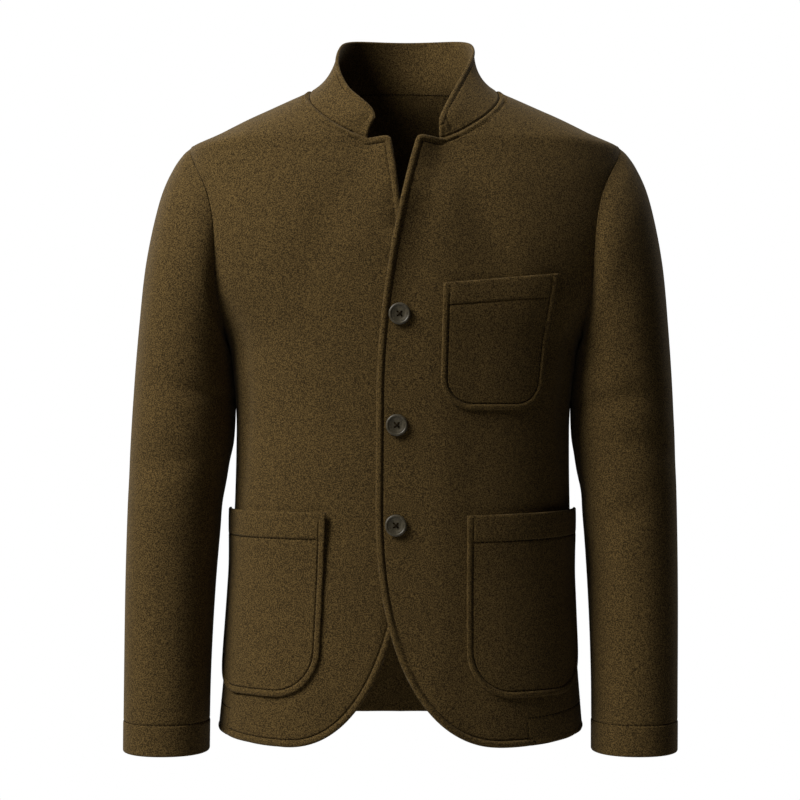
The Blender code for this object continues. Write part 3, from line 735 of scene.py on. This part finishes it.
def wall_halves(base, bands, grooves=()):
    """The wall's outer and inner halves, given the kinds of borders and the distances from them."""
    puff, drawn, rounding = 0.0, 0.0, 1.0
    for kind, distance in bands:
        puff = np.maximum(puff, border_puff(kind, distance, base))
        drawn = np.maximum(drawn, border_groove(kind, distance))
        rounding = np.minimum(rounding, border_round(kind, distance))
    for distance, depth, width in grooves:
        drawn = np.maximum(drawn, depth * np.exp(-(distance / width) ** 2))
    return (base + puff - drawn) * rounding, base * rounding


def add_object(name, data):
    item = bpy.data.objects.new(name, data)
    bpy.context.scene.collection.objects.link(item)
    return item


def mesh_object(name, points, faces, material):
    mesh = bpy.data.meshes.new(name)
    mesh.from_pydata(np.asarray(points).tolist(), [], [list(map(int, face)) for face in faces])
    mesh.shade_smooth()
    mesh.materials.append(material)
    return add_object(name, mesh)


def two_faced(name, middle, normal, halves, border, faces, material):
    """A closed sheet about its middle surface: outer and inner faces that share the points on the border."""
    outer, inner = (middle + sign * normal * half[:, None] for sign, half in zip((1.0, -1.0), halves))
    index = np.arange(len(middle))
    index[~border] = len(middle) + np.arange((~border).sum())
    points = np.concatenate((outer, inner[~border]))
    return mesh_object(name, points, np.concatenate((faces, index[faces][:, ::-1])), material)


def cloth_panel(name, borders, base, lift_at, grooves, material):
    """A closed sheet of cloth inside its borders, with a rounded edge."""
    params, faces = fill_borders(borders, grooves)
    turns = unwound(params[:, 0])
    heights = params[:, 1]
    places = bare_place(params)

    def distance_from(lines):
        dense = [bare_place(spaced(line, DENSE_STEP)) for line in lines]
        return distances(np.concatenate(dense), places)

    kinds = dict.fromkeys(kind for kind, _ in borders)
    bands = [(kind, distance_from([line for line_kind, line in borders if line_kind == kind])) for kind in kinds]
    halves = wall_halves(base, bands, [(distance_from([line]), depth, width) for line, depth, width in grooves])
    edges = np.sort(np.concatenate((faces[:, :2], faces[:, 1:], faces[:, ::2])), axis=1)
    edges, counts = np.unique(edges, axis=0, return_counts=True)
    on_border = np.zeros(len(params), bool)
    on_border[edges[counts == 1]] = True
    middle = body_point(turns, heights, lift_at(turns, heights))
    return two_faced(name, middle, outward(turns, heights), halves, on_border, faces, material)


# The collar and sleeves, as grids

def grid_faces(rows, around, closed):
    """Quads of a grid whose rows run upward and whose columns run around, facing out."""
    index = np.arange(rows * around).reshape(rows, around)
    after = np.roll(index, -1, axis=1)
    quads = columns(index[:-1], after[:-1], after[1:], index[1:])
    return (quads if closed else quads[:, :-1]).reshape(-1, 4)


def grid_normals(points, closed):
    """Outward normals of a grid of points, rows upward and columns around."""
    if closed:
        around = np.roll(points, -1, axis=1) - np.roll(points, 1, axis=1)
    else:
        around = np.gradient(points, axis=1)
    return unit(np.cross(around, np.gradient(points, axis=0)))


def grid_sheet(name, points, normal, halves, closed, flipped, material):
    """A closed sheet from a grid, joined along every open border."""
    rows, around = points.shape[:2]
    border = np.zeros((rows, around), bool)
    border[[0, -1]] = True
    if not closed:
        border[:, [0, -1]] = True
    faces = grid_faces(rows, around, closed)
    if flipped:
        faces = faces[:, ::-1]
    return two_faced(name, points.reshape(-1, 3), normal.reshape(-1, 3), [half.ravel() for half in halves],
                     border.ravel(), faces, material)


def eased(count, edge_steps, edge_size, total):
    """Shares from 0 to 1 that step finely near both ends and evenly between them."""
    near = edge_size * (np.linspace(0.0, 1.0, edge_steps) ** 1.3) / total
    middle = np.linspace(near[-1], 1.0 - near[-1], count - 2 * edge_steps + 2)[1:-1]
    return np.concatenate((near, middle, 1.0 - near[::-1]))


def collar_column(foot_turn, top_turn):
    """The foot, knee and top of the collar's middle surface at one place around the neck."""
    height = neck_height(foot_turn)
    foot = body_point(foot_turn, height)
    above = body_point(foot_turn, height + TINY)
    lead = unit(above - foot)
    foot = foot + lead * COLLAR_GAP
    from_back = np.abs(np.degrees(top_turn) - 180.0) / (180.0 - COLLAR_TOP_END_TURN)
    depth = np.where(np.cos(top_turn) > 0, COLLAR_TOP_FRONT, COLLAR_TOP_BACK)
    top = columns(NECK_CENTRE + COLLAR_TOP_HALF_WIDTH * np.sin(top_turn),
                  -depth * np.cos(top_turn),
                  COLLAR_TOP_HEIGHT - COLLAR_TOP_DROP * from_back ** COLLAR_DROP_POWER)
    flare = COLLAR_FLARE + COLLAR_SIDE_FLARE * np.sin(foot_turn) ** 2
    return foot, foot + lead * flare[..., None], top


def collar_surface(shares, rises):
    """Points of the collar at shares around it, left end first, and rises from foot to top."""
    left_end = turn_of(LEFT_FRONT["collar_end"], NOTCH)
    right_end = FULL_TURN + turn_of(RIGHT_FRONT["collar_end"], NOTCH)
    top_end = math.radians(COLLAR_TOP_END_TURN)
    foot, knee, top = collar_column(left_end + (right_end - left_end) * shares,
                                    top_end + (FULL_TURN - 2.0 * top_end) * shares)
    from_end = np.minimum(shares, 1.0 - shares) * COLLAR_LENGTH
    bend = np.clip(1.0 - from_end / COLLAR_CORNER, 0.0, 1.0)
    low = COLLAR_CORNER / COLLAR_END_HEIGHT * (1.0 - np.sqrt(1.0 - bend ** 2))
    rise = (np.asarray(rises) * (1.0 - low))[..., None]
    rolled = 1.0 - smooth_step(0.0, COLLAR_ROLL_WIDTH, from_end)
    roll = COLLAR_ROLL * rolled[..., None] * smooth_step(0.0, 1.0, rise)
    from_right = (1.0 - shares) * COLLAR_LENGTH
    opened = (smooth_step(0.0, COLLAR_OPEN_START, from_right)
              * (1.0 - smooth_step(COLLAR_OPEN_START, COLLAR_OPEN_END, from_right)))
    lean = COLLAR_OPEN * opened[..., None] * rise ** COLLAR_LEAN_POWER
    return (foot * (1 - rise) ** 2 + knee * 2 * rise * (1 - rise) + top * rise ** 2
            + roll * FORWARD + lean * RIGHTWARD)


def make_collar(material):
    shares = eased(COLLAR_COLUMNS, *COLLAR_ENDS, COLLAR_FLAT[0])
    rises = eased(COLLAR_ROWS, *COLLAR_EDGES, COLLAR_FLAT[1])
    shape = (len(rises), len(shares))
    flat_points = collar_surface(np.tile(shares, len(rises)), np.repeat(rises, len(shares)))
    points = flat_points.reshape(*shape, 3)
    fine = np.linspace(0.0, 1.0, COLLAR_LINE_POINTS)
    ones = np.ones_like(fine)
    lines = (("foot", fine, 0.0 * fine), ("collar", fine, ones),
             ("collar", 0.0 * fine, fine), ("collar", ones, fine))
    bands = [(kind, distances(collar_surface(across, upward), flat_points).reshape(shape))
             for kind, across, upward in lines]
    return grid_sheet("collar_cloth", points, grid_normals(points, closed=False), wall_halves(HALF_WALL, bands),
                      False, False, material)


def sleeve_size(name, station):
    stations = np.arange(len(SLEEVE_SECTIONS), dtype=float)
    return smooth_through(stations, SLEEVE_SECTIONS[:, SLEEVE_COLUMNS.index(name)], station)


def sleeve_section(station, around):
    """Points of slanting oval sections of the left sleeve, from its top forward and under."""
    power = 2.0 / SLEEVE_SQUARENESS
    along = np.sign(np.cos(around)) * np.abs(np.cos(around)) ** power
    across = np.sign(np.sin(around)) * np.abs(np.sin(around)) ** power
    outer_x, outer_z, inner_x, inner_z = (sleeve_size(name, station) for name in SLEEVE_COLUMNS[:4])
    x = 0.5 * (outer_x + inner_x) + 0.5 * (outer_x - inner_x) * along
    z = 0.5 * (outer_z + inner_z) + 0.5 * (outer_z - inner_z) * along
    y = sleeve_size("centre_y", station) - sleeve_size("half_depth", station) * across
    return columns(x, y, z)


def sleeve_head(around):
    """The sleeve's first ring: in line with the shoulder on top, lapped over the armhole below it."""
    places = armhole(1, around / FULL_TURN)
    from_top = np.minimum(around, FULL_TURN - around)
    lapped = smooth_step(0.0, CAP_TURN, from_top)
    return body_point(places[:, 0], places[:, 1], SLEEVE_LAP * lapped)


def sleeve_surface(station, around):
    """A point of the left sleeve's middle surface at a station and a turn from its top."""
    off_oval = sleeve_head(around) - sleeve_section(np.zeros_like(around), around)
    fade = 1.0 - smooth_step(0.0, SLEEVE_FADE, station)
    return sleeve_section(station, around) + off_oval * fade[..., None]


def sleeve_crease(station, around, creases):
    """The outward move of a sleeve's creases; around is counted from the top forward."""
    total = np.zeros_like(station)
    for row, turn, *form in creases:
        aside = (np.mod(around - math.radians(turn) + math.pi, FULL_TURN) - math.pi) * SLEEVE_RADIUS
        total = total + trough((station - row) * SLEEVE_STATION_LENGTH, aside, *form)
    return total


def make_sleeve(name, side, creases, material):
    around = FULL_TURN * np.arange(SLEEVE_POINTS) / SLEEVE_POINTS
    stations = LAST_STATION * eased(SLEEVE_RINGS, *SLEEVE_ENDS, SLEEVE_LENGTH)
    clear = np.abs((LAST_STATION - stations) * LAST_LENGTH - CUFF_HEM) > GROOVE_CLEAR
    groove = LAST_STATION - (CUFF_HEM + np.array(GROOVE_RINGS)) / LAST_LENGTH
    stations = np.sort(np.concatenate((stations[clear], groove)))[::-1]
    grid_station = np.repeat(stations, SLEEVE_POINTS)
    grid_around = np.tile(around, len(stations))
    shape = (len(stations), SLEEVE_POINTS)
    points = sleeve_surface(grid_station, grid_around).reshape(*shape, 3)
    normal = -grid_normals(points, closed=True)
    points = points + normal * sleeve_crease(grid_station, grid_around, creases).reshape(*shape, 1)
    runs = runs_of(points)
    from_cuff = (LAST_STATION - grid_station).reshape(shape) * LAST_LENGTH
    halves = wall_halves(HALF_WALL, (("cuff", from_cuff), ("seam", runs[-1:] - runs)))
    mirror = np.array((side, 1.0, 1.0))
    return grid_sheet(name, points * mirror, normal * mirror, halves, True, side > 0, material)


# Stitching

def lathe_faces(rings, steps):
    """Faces of a turned form: its first point, its rings of points and its last point."""
    each = np.arange(steps)
    after = np.roll(each, -1)
    end = 1 + rings * steps
    faces = columns(0 * each, 1 + each, 1 + after).tolist()
    faces += (1 + grid_faces(rings, steps, True)[:, [0, 3, 2, 1]]).tolist()
    return faces + columns(0 * each + end, end - steps + after, end - steps + each).tolist()


def stitch_rows(name, rows, material):
    """One joined mesh of rows of stitches, each row a pair of points at the stitch pitch and normals."""
    angles = -FULL_TURN * np.arange(STITCH_SIDES)[:, None] / STITCH_SIDES
    verts = []
    for points, normals in rows:
        along = np.diff(points, axis=0)[:, None]
        middle = 0.5 * (points[1:] + points[:-1])[:, None]
        up = normals[:-1, None]
        half = along * 0.5 * STITCH_LENGTH / STITCH_PITCH
        ring = STITCH_RADIUS * (np.cross(unit(along), up) * np.cos(angles) + up * np.sin(angles))
        full = half * STITCH_FULL_TO
        stitch = (middle - half, middle - full + ring, middle + full + ring, middle + half)
        verts.append(np.concatenate(stitch, axis=1))
    verts = np.concatenate(verts)
    count, size = verts.shape[:2]
    shape = lathe_faces(2, STITCH_SIDES)
    faces = [[size * number + index for index in face] for number in range(count) for face in shape]
    return mesh_object(name, verts.reshape(-1, 3), faces, material)


def body_stitches(line, distance, turned, lift_at, rise):
    """A row of stitches on the body at a distance inside a border line."""
    moved = inset(spaced(line, FINE_STEP), distance, turned)
    places = spaced(moved, STITCH_PITCH)
    turns = unwound(places[:, 0])
    lift = lift_at(turns, places[:, 1]) + rise
    return body_point(turns, places[:, 1], lift), outward(turns, places[:, 1])


def border_stitches(borders, kinds, turned, lift_at, base):
    """Rows of stitches along the borders of these kinds."""
    rows = []
    for kind in kinds:
        line = np.concatenate([line for line_kind, line in borders if line_kind == kind])
        rows.append(body_stitches(line, BORDERS[kind]["stitch"], turned, lift_at, stitch_rise(kind, base)))
    return rows


def cuff_stitches(side):
    count = int(CUFF_GIRTH / STITCH_PITCH)
    around = np.linspace(0.0, FULL_TURN, count)
    points = sleeve_surface(np.full(count, LAST_STATION - CUFF_HEM / LAST_LENGTH), around)
    outside = columns(np.cos(around), -np.sin(around), 0.0 * around)
    mirror = np.array((side, 1.0, 1.0))
    return [((points + outside * stitch_rise("cuff", HALF_WALL)) * mirror, outside * mirror)]


def collar_row(shares, rises, pitch, side, height):
    """A row of stitches along places of the collar, on its outer face (side 1) or its inner one (-1)."""
    places = spaced(columns(shares, rises), pitch, lambda line: collar_surface(line[:, 0], line[:, 1]))

    def near(aside, above):
        return collar_surface(places[:, 0] + aside, places[:, 1] + above)

    normal = unit(side * np.cross(near(TINY, 0.0) - near(-TINY, 0.0), near(0.0, TINY) - near(0.0, -TINY)))
    return near(0.0, 0.0) + normal * height, normal


def collar_stitches():
    """The row that runs inside the collar's ends and top edge."""
    distance = BORDERS["collar"]["stitch"]
    fine = np.linspace(0.0, 1.0, SEAM_LINE_POINTS)
    lengths = np.linalg.norm(collar_surface(fine, 0.0 * fine + 1.0) - collar_surface(fine, 0.0 * fine), axis=1)
    end_share = distance / COLLAR_LENGTH
    inside = (fine > end_share) & (fine < 1.0 - end_share)
    shares = fine[inside]
    rises = (1.0 - distance / lengths)[inside]
    foot = np.linspace(COLLAR_ROW_FOOT, rises[0], STRAIGHT_POINTS)
    shares = np.concatenate((np.full_like(foot, shares[0]), shares, np.full_like(foot, shares[-1])))
    rises = np.concatenate((foot, rises, foot[::-1]))
    return [collar_row(shares, rises, STITCH_PITCH, 1.0, stitch_rise("collar", HALF_WALL))]


def neck_seams():
    """The sewn lines along the foot of the collar, inside the neck and outside; the close dark row inside is partly
    a painted shadow line along the neck seam.
    """
    shares = np.linspace(INNER_SEAM_SHADE_END, 1.0 - INNER_SEAM_SHADE_END, INNER_SEAM_SHADE_POINTS)
    rises = np.full_like(shares, INNER_SEAM_SHADE_RISE)
    within = collar_row(shares, rises, SEAM_PITCH, -1.0, HALF_WALL + INNER_SEAM_SHADE_LIFT)
    shares = np.linspace(OUTER_SEAM_END, 1.0 - OUTER_SEAM_END, SEAM_LINE_POINTS)
    pace = collar_surface(shares, 0.0 * shares + TINY) - collar_surface(shares, 0.0 * shares)
    rises = BORDERS["foot"]["stitch"] * TINY / np.linalg.norm(pace, axis=1)
    return [within, collar_row(shares, rises, SEAM_PITCH, 1.0, stitch_rise("foot", HALF_WALL))]


# Buttons

def turned_mesh(name, profile, steps, material):
    """A solid of revolution about Z from a profile that starts and ends on the axis."""
    angles = FULL_TURN * np.arange(steps) / steps
    rings = [columns(radius * np.cos(angles), radius * np.sin(angles), 0.0 * angles + height)
             for radius, height in profile[1:-1]]
    verts = np.concatenate(([(0.0, 0.0, profile[0][1])], *rings, [(0.0, 0.0, profile[-1][1])]))
    return mesh_object(name, verts, lathe_faces(len(rings), steps), material)


def button_profile():
    """Half the section of a dished button: a flat middle, a raised round rim and a rounded underside."""
    profile = [(radius, BUTTON_THICK - BUTTON_DISH + height) for radius, height in DISH_PROFILE]
    profile += [(BUTTON_RADIUS - RIM_RADIUS + RIM_RADIUS * math.cos(angle),
                 BUTTON_THICK - RIM_RADIUS + RIM_RADIUS * math.sin(angle))
                for angle in RIM_ANGLES]
    profile += [(BUTTON_RADIUS - inset_by, height) for inset_by, height in UNDERSIDE]
    return profile + [(0.0, 0.0)]


def set_on_front(item, x, height):
    """Put a button or its thread on the left front, facing out."""
    turn = turn_of(x, height)
    item.location = body_point(turn, height, front_lap(turn, height) + HALF_WALL + BUTTON_OFF_CLOTH)
    item.rotation_mode = "QUATERNION"
    item.rotation_quaternion = Vector(outward(np.asarray(turn), np.asarray(height))).to_track_quat("Z", "Y")


def make_button(name, horn):
    """A four-hole button, lying at the origin."""
    button = turned_mesh(name, button_profile(), BUTTON_STEPS, horn)
    for x in (-BUTTON_HOLE_FROM_MIDDLE, BUTTON_HOLE_FROM_MIDDLE):
        for y in (-BUTTON_HOLE_FROM_MIDDLE, BUTTON_HOLE_FROM_MIDDLE):
            bpy.ops.mesh.primitive_cylinder_add(vertices=HOLE_STEPS, radius=BUTTON_HOLE_RADIUS, depth=HOLE_DEPTH,
                                                location=(x, y, 0.0))
            cutter = bpy.context.object
            hole = button.modifiers.new("hole", "BOOLEAN")
            hole.operation = "DIFFERENCE"
            hole.object = cutter
            graph = bpy.context.evaluated_depsgraph_get()
            cut = bpy.data.meshes.new_from_object(button.evaluated_get(graph))
            button.modifiers.clear()
            button.data = cut
            bpy.data.objects.remove(cutter, do_unlink=True)
    button.data.shade_smooth()
    button.data.set_sharp_from_angle(angle=SHARP_ANGLE)
    return button


def make_button_thread(name, thread):
    """Two crossing pairs of strands through a button's holes."""
    curve = bpy.data.curves.new(name, "CURVE")
    curve.dimensions = "3D"
    curve.bevel_depth = THREAD_RADIUS
    curve.bevel_resolution = 1
    curve.use_fill_caps = True
    curve.materials.append(thread)
    shares = np.linspace(0.0, 1.0, THREAD_POINTS)
    runs = BUTTON_HOLE_FROM_MIDDLE * (2.0 * shares - 1.0)
    heights = (BUTTON_THICK - BUTTON_DISH + THREAD_CROWN * np.sqrt(np.sin(math.pi * shares))
               - THREAD_DIP * (np.abs(shares - 0.5) > THREAD_DIP_FROM))
    for lean in (1.0, -1.0):
        for apart in (-THREAD_APART, THREAD_APART):
            spline = curve.splines.new("POLY")
            spline.points.add(THREAD_POINTS - 1)
            for point, position in zip(spline.points, columns(runs + apart, lean * (runs - apart), heights)):
                point.co = (*position, 1.0)
    return add_object(name, curve)


# Materials

def set_inputs(node, values):
    for name, value in values.items():
        node.inputs[name].default_value = value


def new_material(name, look):
    material = bpy.data.materials.new(name)
    material.use_nodes = True
    nodes = material.node_tree.nodes
    shader = nodes["Principled BSDF"]
    set_inputs(shader, look)
    return material, nodes, material.node_tree.links, shader


def noise(nodes, links, coordinates, scale, detail, roughness):
    node = nodes.new("ShaderNodeTexNoise")
    set_inputs(node, {"Scale": scale, "Detail": detail, "Roughness": roughness})
    links.new(coordinates.outputs["Object"], node.inputs["Vector"])
    return node


def multiplied(nodes, links, first, second):
    node = nodes.new("ShaderNodeMix")
    node.data_type = "RGBA"
    node.blend_type = "MULTIPLY"
    node.inputs["Factor"].default_value = 1.0
    links.new(first, node.inputs["A"])
    links.new(second, node.inputs["B"])
    return node.outputs["Result"]


def ramp(nodes, links, source, stops):
    """Colours from the Fac of a texture, through two stops."""
    node = nodes.new("ShaderNodeValToRGB")
    links.new(source.outputs["Fac"], node.inputs["Fac"])
    for element, (place, colour) in zip(node.color_ramp.elements, stops):
        element.position = place
        element.color = (*colour, 1.0)
    return node.outputs["Color"]


def bump(nodes, links, source, strength, distance):
    node = nodes.new("ShaderNodeBump")
    set_inputs(node, {"Strength": strength, "Distance": distance})
    links.new(source.outputs["Fac"], node.inputs["Height"])
    return node


def wool_material():
    """Felted wool: fine mottled fibres, soft clumps, a low broad tone and a short nap."""
    material, nodes, links, shader = new_material("wool", WOOL_LOOK)
    where = nodes.new("ShaderNodeTexCoord")
    fibres = noise(nodes, links, where, *FIBRE_NOISE)
    clumps = noise(nodes, links, where, *CLUMP_NOISE)
    broad = noise(nodes, links, where, *BROAD_NOISE)
    colour = ramp(nodes, links, fibres, FIBRE_RAMP)
    colour = multiplied(nodes, links, colour, ramp(nodes, links, clumps, CLUMP_RAMP))
    colour = multiplied(nodes, links, colour, ramp(nodes, links, broad, BROAD_RAMP))
    links.new(colour, shader.inputs["Base Color"])
    rough = bump(nodes, links, clumps, *CLUMP_BUMP)
    nap = bump(nodes, links, fibres, *NAP_BUMP)
    links.new(rough.outputs["Normal"], nap.inputs["Normal"])
    links.new(nap.outputs["Normal"], shader.inputs["Normal"])
    return material


def horn_material():
    """Dark polished horn with faint streaks."""
    material, nodes, links, shader = new_material("horn", HORN_LOOK)
    streaks = noise(nodes, links, nodes.new("ShaderNodeTexCoord"), *HORN_NOISE)
    streaks.inputs["Distortion"].default_value = HORN_DISTORTION
    links.new(ramp(nodes, links, streaks, HORN_RAMP), shader.inputs["Base Color"])
    links.new(bump(nodes, links, streaks, *HORN_BUMP).outputs["Normal"], shader.inputs["Normal"])
    return material


def thread_material():
    """Spun sewing thread with a fine twist; its near-black colour is partly painted shade, standing for thread sunk
    in its holes.
    """
    material, nodes, links, shader = new_material("thread_with_painted_shade", THREAD_LOOK)
    where = nodes.new("ShaderNodeTexCoord")
    twist = nodes.new("ShaderNodeTexWave")
    twist.bands_direction = "DIAGONAL"
    set_inputs(twist, THREAD_TWIST)
    links.new(where.outputs["Object"], twist.inputs["Vector"])
    links.new(ramp(nodes, links, twist, THREAD_AND_SHADE_RAMP), shader.inputs["Base Color"])
    return material


# Stage, light and camera

def add_light(name, place, size, power):
    light = bpy.data.lights.new(name, "AREA")
    light.shape = "DISK"
    light.size = size
    light.energy = power
    item = add_object(name, light)
    item.location = place
    item.rotation_euler = (Vector(LIGHT_TARGET) - Vector(place)).to_track_quat("-Z", "Y").to_euler()


def make_stage():
    """A pale floor, a white world that only the camera sees in full, and the lamps."""
    corners = [(FLOOR_HALF * x, FLOOR_HALF * y, FLOOR) for x, y in ((-1, -1), (1, -1), (1, 1), (-1, 1))]
    floor = mesh_object("floor", corners, [(0, 1, 2, 3)], new_material("pale_floor", FLOOR_LOOK)[0])
    world = bpy.data.worlds.new("studio")
    world.use_nodes = True
    nodes = world.node_tree.nodes
    links = world.node_tree.links
    nodes.clear()
    mix = nodes.new("ShaderNodeMixShader")
    for place, strength in ((1, AMBIENT), (2, 1.0)):
        background = nodes.new("ShaderNodeBackground")
        set_inputs(background, {"Color": WHITE, "Strength": strength})
        links.new(background.outputs["Background"], mix.inputs[place])
    rays = nodes.new("ShaderNodeLightPath")
    out = nodes.new("ShaderNodeOutputWorld")
    links.new(rays.outputs["Is Camera Ray"], mix.inputs["Fac"])
    links.new(mix.outputs["Shader"], out.inputs["Surface"])
    bpy.context.scene.world = world
    for name, lamp in LIGHTS.items():
        add_light(name, *lamp)


def make_camera():
    camera = bpy.data.cameras.new("camera")
    camera.sensor_width = SENSOR
    camera.shift_x = CAMERA_SHIFT
    camera.lens = SENSOR * CAMERA_DISTANCE / METRES_PER_PIXEL / PHOTO_SIDE
    item = add_object("camera", camera)
    item.location = (0.0, -CAMERA_DISTANCE, CAMERA_HEIGHT)
    item.rotation_euler = (0.5 * math.pi, 0.0, 0.0)
    bpy.context.scene.camera = item
    bpy.context.scene.view_settings.view_transform = "Standard"


# Putting the jacket together

def pocket_lift(pocket, lap_at):
    def lift(turn, height):
        opened = smooth_step(pocket["top"] - POCKET_OPEN_DEPTH, pocket["top"], height)
        return lap_at(turn, height) + HALF_WALL + POCKET_HALF + POCKET_OFF_CLOTH + pocket["gape"] * opened
    return lift


def hem_groove(front):
    """The short line across the turned-up hem, where it ends beside the cutaway."""
    turn = turn_of(front["hem_step"], HEM)
    low = hem_height(turn)
    return [(straight((turn, low), (turn, low + HEM_DEPTH)), HEM_STEP_DEPTH, HEM_STEP_WIDTH)]


def sway(piece):
    """The slight lean of the cloth as it hangs, its hem toward its right, and its soft shoulder tips."""
    points = np.empty(3 * len(piece.data.vertices))
    piece.data.vertices.foreach_get("co", points)
    points = points.reshape(-1, 3)
    across = np.abs(points[:, 0])
    height = points[:, 2]
    tip = smooth_step(*TIP_RISES, across) * (1.0 - smooth_step(*TIP_FADES, across))
    steady = 1.0 - NECK_STEADY * smooth_step(*NECK_STEADY_HEIGHTS, height)
    points[:, 0] += SWAY * (height - SWAY_HEIGHT) * steady
    points[:, 2] -= SHOULDER_DROP * tip * smooth_step(*TIP_HEIGHTS, height)
    piece.data.vertices.foreach_set("co", points.ravel())
    piece.data.update()


def place(piece, slot, nodes=()):
    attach(piece, "root")
    if nodes:
        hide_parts(*nodes)


def place_cloth(cloth, nodes=()):
    sway(cloth)
    place(cloth, "wool", nodes)


def add_pocket(name, pocket, side, lap_at, wool):
    """A patch pocket on the cloth of a front; gives its rows of stitches."""
    borders = pocket_borders(pocket, side)
    lift = pocket_lift(pocket, lap_at)
    patch = cloth_panel(f"{name}_cloth", borders, POCKET_HALF, lift, [], wool)
    place_cloth(patch, [name])
    return border_stitches(borders, (pocket["hem"], "pocket"), -side, lift, POCKET_HALF)


def main():
    make_camera()
    make_stage()
    wool = wool_material()
    thread = thread_material()
    horn = horn_material()

    rows = []
    for side, label, front, hip_pocket, lap_at in (
            (1, "left", LEFT_FRONT, HIP_POCKET_LEFT, left_lift),
            (-1, "right", RIGHT_FRONT, HIP_POCKET_RIGHT, right_lift)):
        borders = front_borders(front, side)
        cloth = cloth_panel(f"front_{label}_cloth", borders, HALF_WALL, lap_at, hem_groove(front), wool)
        place_cloth(cloth, [f"front_{label}"])
        rows += border_stitches(borders, ("edge", "neck", "hem"), -side, lap_at, HALF_WALL)
        rows += add_pocket(f"pocket_hip_{label}", hip_pocket, side, lap_at, wool)
        if side > 0:
            rows += add_pocket("pocket_chest", CHEST_POCKET, side, lap_at, wool)
        sleeve = make_sleeve(f"sleeve_{label}_cloth", side, SLEEVE_CREASES[label], wool)
        place_cloth(sleeve, [f"sleeve_{label}"])
        rows += cuff_stitches(side)

    borders = back_borders()
    back = cloth_panel("back_cloth", borders, HALF_WALL, no_lap, [], wool)
    place_cloth(back, ["back"])
    rows += border_stitches(borders, ("hem", "neck"), 1.0, no_lap, HALF_WALL)

    collar = make_collar(wool)
    place_cloth(collar, ["collar"])
    rows += collar_stitches()
    rows += neck_seams()
    place_cloth(stitch_rows("stitching", rows, thread))

    for number, where in enumerate(BUTTON_PLACES, start=1):
        button = make_button(f"button_{number}_horn", horn)
        sewn = make_button_thread(f"button_{number}_thread", thread)
        for item in (button, sewn):
            set_on_front(item, *where)
        place(button, "button", [f"button_{number}"])
        place(sewn, "button")


main()
